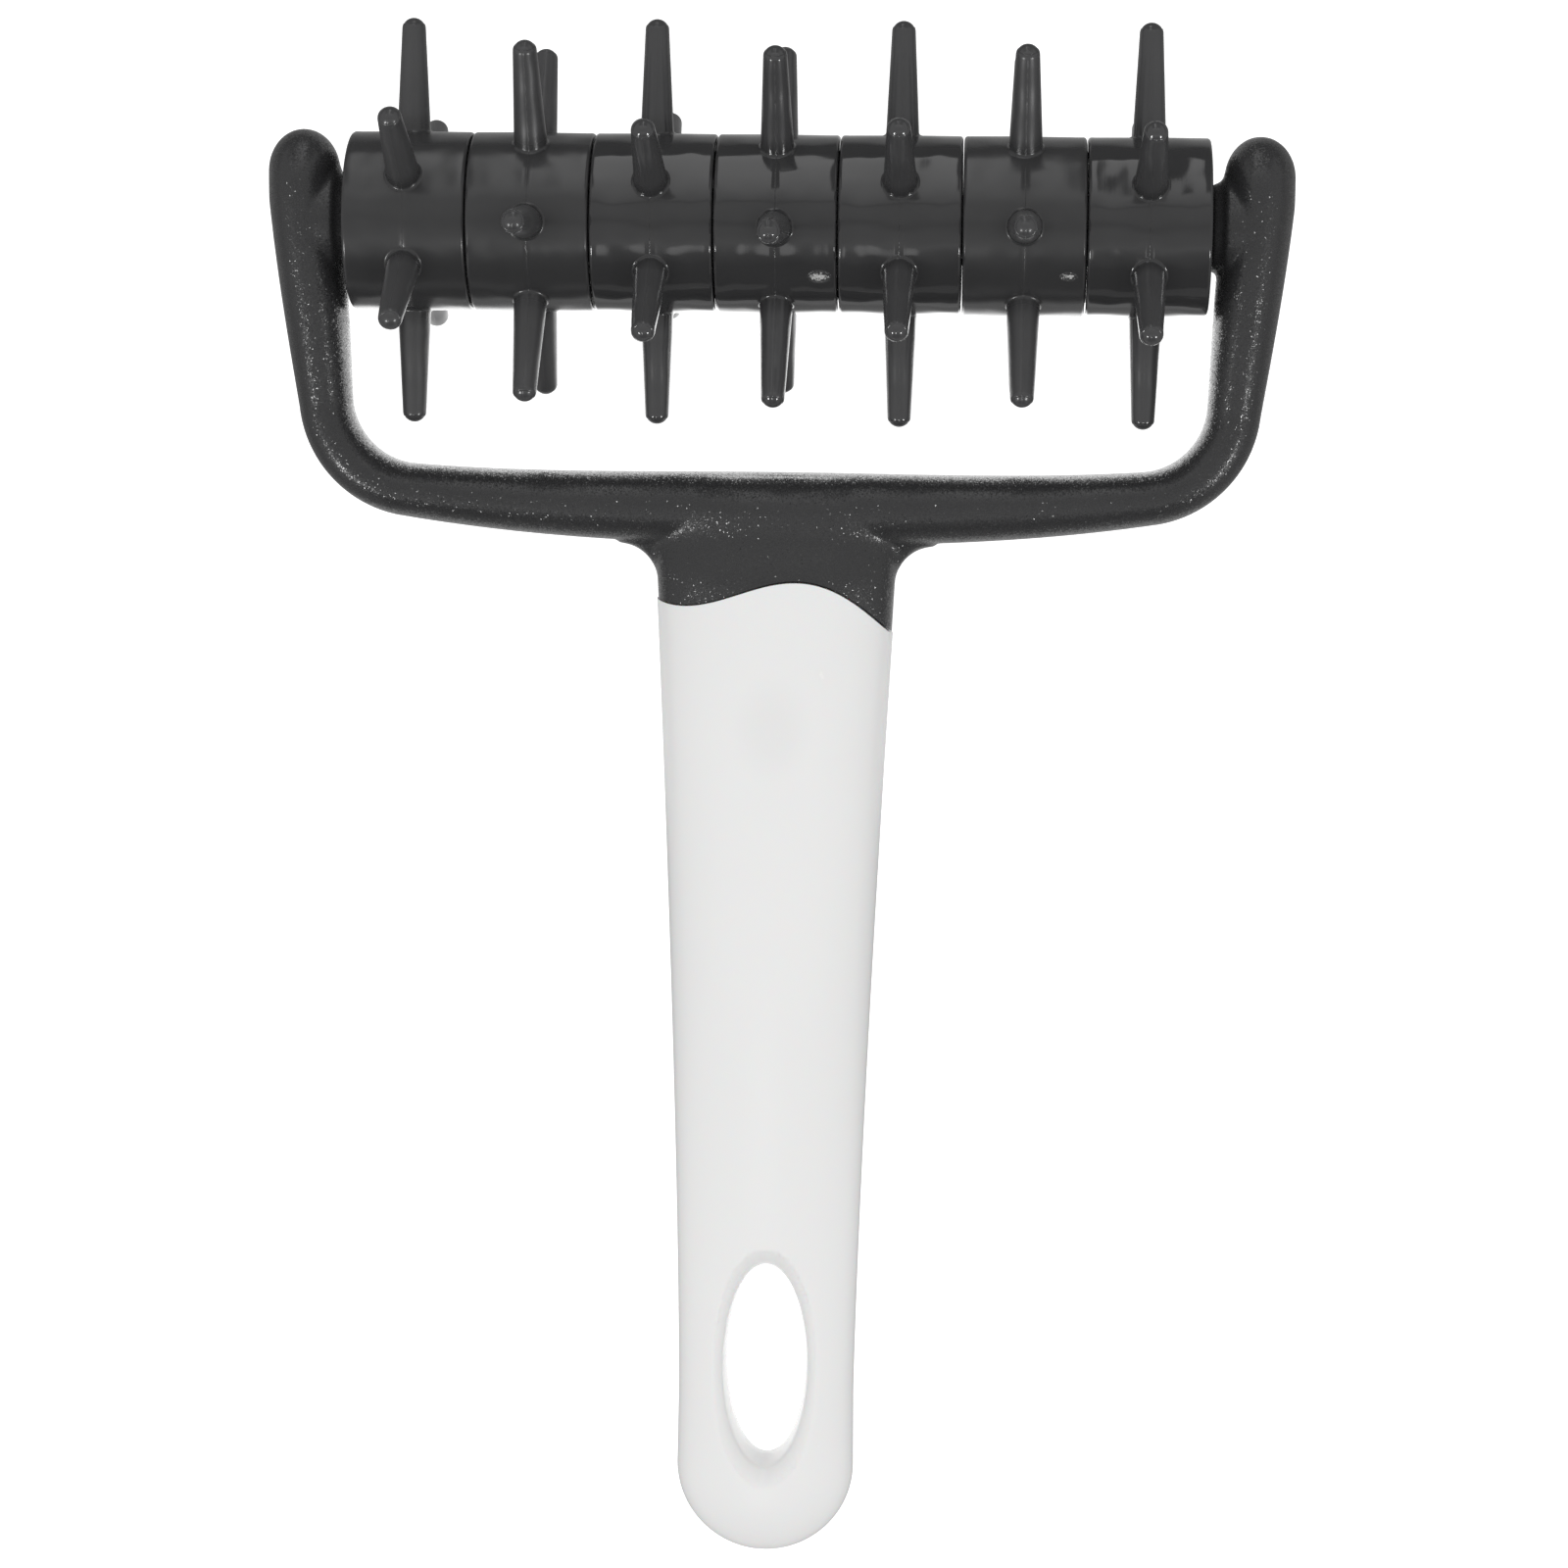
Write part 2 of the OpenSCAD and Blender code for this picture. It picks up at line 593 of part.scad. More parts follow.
fork();
handle();
axle_rod();
core_tube();
end_plug_left();
end_plug_right();
spike_ring(1);  // spike_ring_1
spike_ring(2);  // spike_ring_2
spike_ring(3);  // spike_ring_3
spike_ring(4);  // spike_ring_4
spike_ring(5);  // spike_ring_5
spike_ring(6);  // spike_ring_6
spike_ring(7);  // spike_ring_7
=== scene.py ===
"""Looks of the dough docker: a roller of spiked rings in a dark fork with a white handle.

Pieces are modelled in millimetres in the fork's own frame: X runs along the roller's axis, Y points away
from the handle and Z stands square to the fork. "Depth" is the distance from the axis toward the handle's
end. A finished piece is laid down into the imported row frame, in metres, and rides on its CAD body.
"""

import json
import logging
import math
from dataclasses import dataclass, field
from enum import Enum
from itertools import pairwise
from typing import Callable, Sequence

import bmesh
import bpy
from mathutils import Matrix, Vector


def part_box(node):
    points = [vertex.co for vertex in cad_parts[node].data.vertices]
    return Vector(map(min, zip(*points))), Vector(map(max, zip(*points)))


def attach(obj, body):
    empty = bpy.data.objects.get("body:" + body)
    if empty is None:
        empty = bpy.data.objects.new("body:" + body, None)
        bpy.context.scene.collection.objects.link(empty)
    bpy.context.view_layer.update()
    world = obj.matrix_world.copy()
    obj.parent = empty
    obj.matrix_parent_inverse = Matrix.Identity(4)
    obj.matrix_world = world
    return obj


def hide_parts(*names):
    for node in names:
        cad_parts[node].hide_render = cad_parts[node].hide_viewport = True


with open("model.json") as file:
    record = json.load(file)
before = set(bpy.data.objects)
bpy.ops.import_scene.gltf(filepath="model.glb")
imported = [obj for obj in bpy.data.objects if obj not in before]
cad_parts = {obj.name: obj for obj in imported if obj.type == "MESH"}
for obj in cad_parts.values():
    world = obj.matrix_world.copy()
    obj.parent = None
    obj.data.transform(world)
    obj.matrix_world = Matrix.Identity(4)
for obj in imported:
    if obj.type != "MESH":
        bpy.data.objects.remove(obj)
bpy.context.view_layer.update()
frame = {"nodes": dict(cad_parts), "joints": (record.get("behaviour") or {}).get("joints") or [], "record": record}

MM = 0.001
PLACE = "mould_place"
# How far the rod's end stands in its blind boss, in millimetres
ROD_IN_BOSS = 3.9
LOG = logging.getLogger("dough_docker")


class Pick(Enum):
    """What a selection in edit mode is made of."""

    POINTS = "VERT"
    EDGES = "EDGE"
    FACES = "FACE"


class Cut(Enum):
    """How a second solid changes the first."""

    JOIN = "UNION"
    REMOVE = "DIFFERENCE"


class Body(Enum):
    """The CAD bodies that pieces ride on."""

    FRAME = "frame"
    ROLLER = "roller"


class Polish(Enum):
    """How far a ring's mould cavity was polished."""

    MIRROR = "mirror"
    SATIN = "satin"


@dataclass(frozen=True)
class Station:
    """One section of a lofted moulding: its middle, its turn about Z and its full width and thickness."""

    middle: Vector
    turn: float
    width: float
    thickness: float


@dataclass(frozen=True)
class Lie:
    """How the docker lies in the row frame: the roller's axis and the fork's tilt about it."""

    tilt: float
    axle: Vector

    @classmethod
    def from_frame(cls) -> "Lie":
        """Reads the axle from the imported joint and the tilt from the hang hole's axis."""
        hole_axis = Vector(frame["record"]["mounts"][0]["axis"])
        return cls(math.atan2(-hole_axis.y, hole_axis.z), Vector(frame["joints"][0]["pos_m"]))

    def matrix(self) -> Matrix:
        """The move from the fork's frame in millimetres to the row frame in metres."""
        return Matrix.Translation(self.axle) @ Matrix.Rotation(self.tilt, 4, "X") @ Matrix.Scale(MM, 4)


LIE = Lie.from_frame()


def mix(start: float, end: float, share: float) -> float:
    """The value that lies at a share of the way from start to end."""
    return start + (end - start) * share


def ease(value: float) -> float:
    """A smooth step from 0 to 1."""
    held = min(1.0, max(0.0, value))
    return held * held * (3 - 2 * held)


def even(start: float, end: float, steps: int) -> list[float]:
    """Evenly spaced values from start to end, both included."""
    return [mix(start, end, i / steps) for i in range(steps + 1)]


class Bench:
    """The modeller's bench: Blender's operators, each with nothing else selected."""

    @staticmethod
    def only(*objects: bpy.types.Object) -> None:
        """Leaves edit mode and selects these objects alone; the first becomes active."""
        if bpy.context.mode != "OBJECT":
            bpy.ops.object.mode_set(mode="OBJECT")
        bpy.ops.object.select_all(action="DESELECT")
        for piece in objects:
            piece.select_set(True)
        if objects:
            bpy.context.view_layer.objects.active = objects[0]

    @staticmethod
    def edit(piece: bpy.types.Object, everything: bool = True) -> None:
        """Opens a piece in edit mode with all of it selected, or none of it."""
        Bench.only(piece)
        bpy.ops.object.mode_set(mode="EDIT")
        bpy.ops.mesh.select_mode(type=Pick.POINTS.value)
        bpy.ops.mesh.select_all(action="SELECT" if everything else "DESELECT")

    @staticmethod
    def pick(piece: bpy.types.Object, wanted: Callable[[Vector], bool], kind: Pick = Pick.POINTS) -> int:
        """Selects in edit mode what lies at a wanted place.

        Args:
            piece: the mesh that is edited.
            wanted: says for a point, or for an edge's or a face's middle, whether it is wanted.
            kind: points, edges or faces.

        Returns:
            The number of points, edges or faces selected.
        """
        Bench.edit(piece, everything=False)
        bpy.ops.mesh.select_mode(type=kind.value)
        mesh = bmesh.from_edit_mesh(piece.data)
        found = 0
        if kind is Pick.POINTS:
            for point in mesh.verts:
                point.select_set(wanted(point.co))
                found += point.select
        elif kind is Pick.EDGES:
            for edge in mesh.edges:
                edge.select_set(wanted((edge.verts[0].co + edge.verts[1].co) / 2))
                found += edge.select
        else:
            for face in mesh.faces:
                face.select_set(wanted(face.calc_center_median()))
                found += face.select
        mesh.select_flush_mode()
        bmesh.update_edit_mesh(piece.data)
        return found

    @staticmethod
    def done(piece: bpy.types.Object) -> bpy.types.Object:
        """Leaves edit mode with the piece alone selected, and returns it."""
        Bench.only(piece)
        return piece

    @staticmethod
    def shift(by: Vector) -> None:
        """Moves what is selected."""
        bpy.ops.transform.translate(value=by)

    @staticmethod
    def turn(angle: float, axis: str, centre: Vector) -> None:
        """Turns what is selected by a right-handed angle; in the background the operator turns backwards."""
        bpy.ops.transform.rotate(value=-angle, orient_axis=axis, center_override=centre)

    @staticmethod
    def stretch(by: Sequence[float], centre: Vector, axes: Matrix | None = None) -> None:
        """Scales what is selected along the given axes, or along the frame's own."""
        bpy.ops.transform.resize(value=by, center_override=centre, orient_type="GLOBAL",
                                 orient_matrix=axes or Matrix.Identity(3), orient_matrix_type="GLOBAL")

    @staticmethod
    def close_up(piece: bpy.types.Object, gap: float = 1e-4) -> bpy.types.Object:
        """Merges doubles, fills open ends and points the faces outward."""
        Bench.edit(piece)
        bpy.ops.mesh.remove_doubles(threshold=gap)
        bpy.ops.mesh.fill_holes(sides=0)
        bpy.ops.mesh.select_all(action="SELECT")
        bpy.ops.mesh.normals_make_consistent(inside=False)
        return Bench.done(piece)

    @staticmethod
    def chain(name: str, points: Sequence[Sequence[float]]) -> bpy.types.Object:
        """An outline drawn point by point, left open in edit mode with all of it selected.

        Args:
            name: the new object's name.
            points: the outline's places, each three numbers.

        Returns:
            The object that holds the outline.
        """
        Bench.only()
        bpy.ops.mesh.primitive_plane_add(size=1)
        piece = bpy.context.object
        piece.name = name
        Bench.edit(piece)
        bpy.ops.mesh.merge(type="CENTER")
        Bench.shift(Vector(points[0]))
        for before, after in pairwise(points):
            bpy.ops.mesh.extrude_vertices_move(
                TRANSFORM_OT_translate={"value": Vector(after) - Vector(before)})
        bpy.ops.mesh.select_all(action="SELECT")
        return piece

    @staticmethod
    def turned(name: str, outline: Sequence[tuple[float, float]], steps: int, axis: str = "X",
               closed: bool = False) -> bpy.types.Object:
        """A shape spun from its outline.

        Args:
            name: the new object's name.
            outline: distance along the axis and radius of each of its points.
            steps: faces around.
            axis: X or Z.
            closed: whether the outline runs back to its first point.

        Returns:
            The closed solid.
        """
        places = [(a, 0.0, r) if axis == "X" else (r, 0.0, a) for a, r in outline]
        piece = Bench.chain(name, places)
        if closed:
            ends = (Vector(places[0]), Vector(places[-1]))
            Bench.pick(piece, lambda at: min((at - end).length for end in ends) < 1e-4)
            bpy.ops.mesh.edge_face_add()
            bpy.ops.mesh.select_all(action="SELECT")
        bpy.ops.mesh.spin(steps=steps, angle=math.tau, center=(0, 0, 0),
                          axis=(1, 0, 0) if axis == "X" else (0, 0, 1))
        return Bench.close_up(piece)

    @staticmethod
    def loft(name: str, stations: Sequence[Station],
             ring: Callable[[str], bpy.types.Object]) -> bpy.types.Object:
        """A closed moulding drawn through sections: one ring, extruded, turned and scaled along them.

        Args:
            name: the new object's name.
            stations: the sections in order.
            ring: makes the section one unit wide and thick, all selected in edit mode.

        Returns:
            The closed solid.
        """
        piece = ring(name)
        before = Station(Vector(), 0, 1, 1)
        for i, after in enumerate(stations):
            step = after.middle - before.middle
            if i:
                bpy.ops.mesh.extrude_edges_move(TRANSFORM_OT_translate={"value": step})
            else:
                Bench.shift(step)
            if abs(after.turn - before.turn) > 1e-7:
                Bench.turn(after.turn - before.turn, "Z", after.middle)
            scale = (after.width / before.width, 1, after.thickness / before.thickness)
            Bench.stretch(scale, after.middle, Matrix.Rotation(after.turn, 3, "Z"))
            before = after
        return Bench.close_up(piece)

    @staticmethod
    def round_ring(name: str, points: int, roundness: float = 2.0) -> bpy.types.Object:
        """A ring across Y, one unit wide and thick, left all selected in edit mode.

        Args:
            name: the new object's name.
            points: its number of points.
            roundness: 2 is a circle; more is squarer.

        Returns:
            The ring.
        """
        Bench.only()
        bpy.ops.mesh.primitive_circle_add(vertices=points, radius=0.5)
        piece = bpy.context.object
        piece.name = name
        Bench.edit(piece)
        Bench.turn(math.pi / 2, "X", Vector())
        if roundness != 2:
            mesh = bmesh.from_edit_mesh(piece.data)
            for point in mesh.verts:
                at = point.co
                at.x = math.copysign(0.5 * abs(2 * at.x) ** (2 / roundness), at.x)
                at.z = math.copysign(0.5 * abs(2 * at.z) ** (2 / roundness), at.z)
            bmesh.update_edit_mesh(piece.data)
        return piece

    @staticmethod
    def carve(piece: bpy.types.Object, tool: bpy.types.Object, how: Cut) -> bpy.types.Object:
        """Joins the tool to the piece or cuts it away, and uses the tool up."""
        Bench.only(piece)
        bpy.ops.object.modifier_add(type="BOOLEAN")
        modifier = piece.modifiers[-1]
        modifier.operation = how.value
        modifier.object = tool
        modifier.solver = "EXACT"
        bpy.ops.object.modifier_apply(modifier=modifier.name)
        bpy.data.objects.remove(tool)
        return piece

    @staticmethod
    def fuse(piece: bpy.types.Object, cell: float, rounds: int) -> bpy.types.Object:
        """Runs overlapping shapes into one even skin.

        Args:
            piece: shapes that overlap in one mesh.
            cell: size of the skin's faces.
            rounds: passes of smoothing.

        Returns:
            The piece.
        """
        Bench.only(piece)
        bpy.ops.object.modifier_add(type="REMESH")
        modifier = piece.modifiers[-1]
        modifier.mode = "VOXEL"
        modifier.voxel_size = cell
        bpy.ops.object.modifier_apply(modifier=modifier.name)
        bpy.ops.object.modifier_add(type="SMOOTH")
        modifier = piece.modifiers[-1]
        modifier.factor = 0.5
        modifier.iterations = rounds
        bpy.ops.object.modifier_apply(modifier=modifier.name)
        return piece

    @staticmethod
    def copy(piece: bpy.types.Object, name: str) -> bpy.types.Object:
        """A copy with a mesh of its own."""
        Bench.only(piece)
        bpy.ops.object.duplicate(linked=False)
        twin = bpy.context.object
        twin.name = name
        twin.data.name = name
        return twin

    @staticmethod
    def put(piece: bpy.types.Object, move: Matrix) -> bpy.types.Object:
        """Moves a piece and works its place into its mesh."""
        Bench.only(piece)
        piece.matrix_world = move
        bpy.ops.object.transform_apply(location=True, rotation=True, scale=True)
        return piece

    @staticmethod
    def note_places(piece: bpy.types.Object) -> None:
        """Keeps each point's place in the mould, in millimetres, for the finishes to follow."""
        mesh = piece.data
        kept = mesh.attributes.new(PLACE, "FLOAT_VECTOR", "POINT")
        places = [0.0] * (3 * len(mesh.vertices))
        mesh.vertices.foreach_get("co", places)
        kept.data.foreach_set("vector", places)

    @staticmethod
    def soften(piece: bpy.types.Object, angle: float) -> None:
        """Shades a piece smooth but for edges sharper than an angle in degrees."""
        Bench.only(piece)
        bpy.ops.object.shade_smooth_by_angle(angle=math.radians(angle))


class Graph:
    """A node tree that is wired by names."""

    def __init__(self, tree: bpy.types.NodeTree) -> None:
        """Starts on a tree, emptied."""
        self.tree = tree
        tree.nodes.clear()

    def add(self, kind: str, sockets: dict | None = None, **settings: object) -> bpy.types.Node:
        """Adds a node.

        Args:
            kind: the node's type, without the words ShaderNode.
            sockets: a value or another node's socket for each named or numbered input.
            settings: the node's own options.

        Returns:
            The node.
        """
        name = kind if kind.startswith("NodeGroup") else "ShaderNode" + kind
        node = self.tree.nodes.new(name)
        for key, value in settings.items():
            setattr(node, key, value)
        for key, value in (sockets or {}).items():
            if isinstance(value, bpy.types.NodeSocket):
                self.tree.links.new(value, node.inputs[key])
            else:
                node.inputs[key].default_value = value
        return node

    def maths(self, how: str, *values: object) -> bpy.types.NodeSocket:
        """The result of a Math node on numbers or sockets."""
        return self.add("Math", dict(enumerate(values)), operation=how).outputs[0]

    def vector(self, how: str, *values: object) -> bpy.types.NodeSocket:
        """The result of a Vector Math node; Scale takes its factor as the last value."""
        sockets = dict(enumerate(values))
        if how == "SCALE":
            sockets = {0: values[0], "Scale": values[1]}
        return self.add("VectorMath", sockets, operation=how).outputs[0]

    def span(self, value: object, low: float, high: float, to_low: float = 0, to_high: float = 1,
             how: str = "SMOOTHSTEP") -> bpy.types.NodeSocket:
        """A value remapped from one range to another, held at the ends."""
        sockets = {"Value": value, "From Min": low, "From Max": high, "To Min": to_low, "To Max": to_high}
        return self.add("MapRange", sockets, interpolation_type=how).outputs[0]

    def blend(self, share: object, first: object, second: object) -> bpy.types.NodeSocket:
        """The mix of two colours by a share."""
        node = self.add("Mix", data_type="RGBA")
        for key, value in ((0, share), (6, first), (7, second)):
            if isinstance(value, bpy.types.NodeSocket):
                self.tree.links.new(value, node.inputs[key])
            else:
                node.inputs[key].default_value = value
        return node.outputs[2]

    def place(self) -> bpy.types.NodeSocket:
        """Each point's place in its mould, in millimetres."""
        return self.add("Attribute", attribute_name=PLACE).outputs["Vector"]


Sockets = dict[str, bpy.types.NodeSocket]


class Effect:
    """A shared surface effect: a node group built once, with named inputs and outputs."""

    built: dict[str, bpy.types.NodeTree] = {}

    @classmethod
    def tree(cls, name: str, inputs: dict[str, float | None], outputs: dict[str, str],
             wire: Callable[[Graph, Sockets], dict[str, object]]) -> bpy.types.NodeTree:
        """Returns the named group, wiring it the first time.

        Args:
            name: the group's name.
            inputs: each input's default number, or None for a place.
            outputs: each output's socket type.
            wire: adds the nodes and gives the socket for each output.

        Returns:
            The node group.
        """
        if name in cls.built:
            return cls.built[name]
        group = bpy.data.node_groups.new(name, "ShaderNodeTree")
        for label, default in inputs.items():
            kind = "NodeSocketVector" if default is None else "NodeSocketFloat"
            socket = group.interface.new_socket(name=label, in_out="INPUT", socket_type=kind)
            if default is not None:
                socket.default_value = default
        for label, kind in outputs.items():
            group.interface.new_socket(name=label, in_out="OUTPUT", socket_type=kind)
        graph = Graph(group)
        entry = graph.add("NodeGroupInput")
        exits = wire(graph, {socket.name: socket for socket in entry.outputs if socket.name})
        graph.add("NodeGroupOutput", exits)
        cls.built[name] = group
        return group

    @staticmethod
    def use(graph: Graph, group: bpy.types.NodeTree, sockets: dict) -> bpy.types.Node:
        """Places a group in a material with the material's own values."""
        node = graph.add("Group")
        node.node_tree = group
        for key, value in sockets.items():
            if isinstance(value, bpy.types.NodeSocket):
                graph.tree.links.new(value, node.inputs[key])
            else:
                node.inputs[key].default_value = value
        return node

    @classmethod
    def drift(cls) -> bpy.types.NodeTree:
        """Slow unevenness of colour and gloss over a moulding."""
        def wire(graph: Graph, given: Sockets) -> dict[str, object]:
            """Two sizes of cloud around the middle value."""
            share = graph.maths("DIVIDE", 1.0, given["Size"])
            wide = graph.add("TexNoise", {"Vector": given["Place"], "Scale": share, "Detail": 3.0})
            low = graph.maths("MULTIPLY", graph.maths("SUBTRACT", wide.outputs[0], 0.5), given["Amount"])
            return {"Value": graph.maths("ADD", graph.maths("MULTIPLY", low, 2.0), 1.0)}
        return cls.tree("drift", {"Place": None, "Size": 8.0, "Amount": 0.1},
                        {"Value": "NodeSocketFloat"}, wire)

    @classmethod
    def specks(cls) -> bpy.types.NodeTree:
        """Scattered tiny spots, such as dust or nicks."""
        def wire(graph: Graph, given: Sockets) -> dict[str, object]:
            """A cell keeps its spot when its random number is below the share."""
            scale = graph.maths("DIVIDE", 1.0, given["Spacing"])
            cell = graph.add("TexVoronoi", {"Vector": given["Place"], "Scale": scale})
            chance = graph.add("SeparateColor", {0: cell.outputs["Color"]})
            kept = graph.maths("LESS_THAN", chance.outputs[0], given["Share"])
            reach = graph.maths("MULTIPLY", cell.outputs["Distance"], given["Spacing"])
            size = graph.maths("MULTIPLY", given["Radius"], graph.maths("ADD", chance.outputs[1], 0.4))
            inside = graph.maths("LESS_THAN", reach, size)
            return {"Mask": graph.maths("MULTIPLY", kept, inside)}
        return cls.tree("specks", {"Place": None, "Spacing": 2.0, "Share": 0.1, "Radius": 0.08},
                        {"Mask": "NodeSocketFloat"}, wire)

    @classmethod
    def mould_line(cls) -> bpy.types.NodeTree:
        """The hairline where the two halves of a mould met, a ridge and its two sides."""
        def wire(graph: Graph, given: Sockets) -> dict[str, object]:
            """A bell across the line, broken up along it."""
            away = graph.maths("ABSOLUTE", given["Across"])
            share = graph.maths("DIVIDE", away, given["Width"])
            bell = graph.span(share, 0.0, 1.0, 1.0, 0.0)
            cloud = graph.add("TexNoise", {"Vector": given["Place"], "Scale": 0.9, "Detail": 2.0})
            broken = graph.span(cloud.outputs[0], 0.35, 0.6, 0.25, 1.0)
            return {"Ridge": graph.maths("MULTIPLY", bell, broken)}
        return cls.tree("mould_line", {"Place": None, "Across": 0.0, "Width": 0.08},
                        {"Ridge": "NodeSocketFloat"}, wire)

    @classmethod
    def spark_texture(cls) -> bpy.types.NodeTree:
        """The glinting grain of a spark-eroded mould: its height, its glints and their tipped normal."""
        def wire(graph: Graph, given: Sockets) -> dict[str, object]:
            """Cells of which a share are smooth facets, most of them tipped a little and a few a lot."""
            scale = graph.maths("DIVIDE", 1.0, given["Size"])
            cell = graph.add("TexVoronoi", {"Vector": given["Place"], "Scale": scale})
            centred = graph.vector("SUBTRACT", cell.outputs["Color"], (0.5, 0.5, 0.5))
            length = graph.add("VectorMath", {0: centred}, operation="LENGTH").outputs["Value"]
            dice = graph.add("TexWhiteNoise", {"Vector": cell.outputs["Position"]}).outputs["Value"]
            glint = graph.maths("LESS_THAN", dice, given["Share"])
            steep = graph.maths("MULTIPLY", graph.maths("POWER", length, 2.0), given["Tip"])
            steep = graph.maths("MULTIPLY", steep, glint)
            normal = graph.add("NewGeometry").outputs["Normal"]
            tipped = graph.vector("ADD", normal, graph.vector("SCALE", centred, steep))
            facing = graph.vector("NORMALIZE", tipped)
            noise = graph.add("TexNoise", {"Vector": given["Place"], "Scale": scale, "Detail": 3.0,
                                           "Roughness": 0.7})
            height = graph.maths("MULTIPLY", noise.outputs[0], given["Depth"])
            return {"Height": height, "Glint": glint, "Normal": facing}
        return cls.tree("spark_texture",
                        {"Place": None, "Size": 0.2, "Share": 0.4, "Tip": 1.0, "Depth": 0.006},
                        {"Height": "NodeSocketFloat", "Glint": "NodeSocketFloat",
                         "Normal": "NodeSocketVector"},
                        wire)

    @classmethod
    def lathe_lines(cls) -> bpy.types.NodeTree:
        """Hairlines that run around a polished turned cavity, as a height across the axis."""
        def wire(graph: Graph, given: Sockets) -> dict[str, object]:
            """Noise along the axis only, fading in and out around the turn."""
            along = graph.add("SeparateXYZ", {0: given["Place"]}).outputs[0]
            lines = graph.add("TexNoise", {"W": graph.maths("DIVIDE", along, given["Pitch"]), "Scale": 1.0,
                                           "Detail": 4.0, "Roughness": 0.75}, noise_dimensions="1D")
            patch = graph.add("TexNoise", {"Vector": given["Place"], "Scale": 0.35, "Detail": 2.0})
            share = graph.span(patch.outputs[0], 0.35, 0.65, 0.35, 1.0)
            height = graph.maths("MULTIPLY", graph.maths("MULTIPLY", lines.outputs[0], share), given["Depth"])
            return {"Height": height}
        return cls.tree("lathe_lines", {"Place": None, "Pitch": 0.35, "Depth": 0.004},
                        {"Height": "NodeSocketFloat"}, wire)


@dataclass(frozen=True)
class Finish:
    """A surface finish: its record slot, its colour and its gloss."""

    name: str
    slot: str
    colour: tuple[float, float, float]
    roughness: float

    def rgba(self, times: float = 1.0) -> tuple[float, float, float, float]:
        """The colour, made lighter or darker, with full opacity."""
        r, g, b = (min(1.0, c * times) for c in self.colour)
        return r, g, b, 1.0

    def start(self) -> tuple[bpy.types.Material, Graph, bpy.types.Node]:
        """A new material with its tree and its Principled shader, wired to the output."""
        material = bpy.data.materials.new(self.name)
        material.use_nodes = True
        graph = Graph(material.node_tree)
        shader = graph.add("BsdfPrincipled")
        graph.add("OutputMaterial", {"Surface": shader.outputs[0]})
        return material, graph, shader

    def wear(self, piece: bpy.types.Object, material: bpy.types.Material) -> None:
        """Gives a piece this finish as its only one."""
        piece.data.materials.clear()
        piece.data.materials.append(material)


@dataclass(frozen=True)
class ForkFinish(Finish):
    """Dark spark-eroded plastic whose grain glints along the fork's ridges."""

    grain: float = 0.13
    share: float = 0.75
    tip: float = 1.1
    depth: float = 0.0035
    facet_roughness: float = 0.2

    def material(self) -> bpy.types.Material:
        """Builds the material."""
        material, graph, shader = self.start()
        place = graph.place()
        cloud = Effect.use(graph, Effect.drift(), {"Place": place, "Size": 11.0, "Amount": 0.12})
        dust = Effect.use(graph, Effect.specks(), {"Place": place, "Spacing": 3.4, "Share": 0.06,
                                                   "Radius": 0.05})
        spark = Effect.use(graph, Effect.spark_texture(), {
            "Place": place, "Size": self.grain, "Share": self.share, "Tip": self.tip, "Depth": self.depth})
        tone = graph.vector("SCALE", self.rgba()[:3], cloud.outputs[0])
        dusty = graph.blend(graph.maths("MULTIPLY", dust.outputs[0], 0.3), tone, (0.5, 0.5, 0.49, 1))
        bump = graph.add("Bump", {"Height": spark.outputs["Height"], "Distance": MM, "Strength": 1.0,
                                  "Normal": spark.outputs["Normal"]})
        dull = graph.maths("MULTIPLY", cloud.outputs[0], self.roughness)
        gloss = graph.span(spark.outputs["Glint"], 0.0, 1.0, 0.0, 1.0, "LINEAR")
        rough = graph.maths("ADD", graph.maths("MULTIPLY", dull, graph.maths("SUBTRACT", 1.0, gloss)),
                            graph.maths("MULTIPLY", gloss, self.facet_roughness))
        for key, value in (("Base Color", dusty), ("Roughness", rough), ("Normal", bump.outputs[0])):
            graph.tree.links.new(value, shader.inputs[key])
        return material


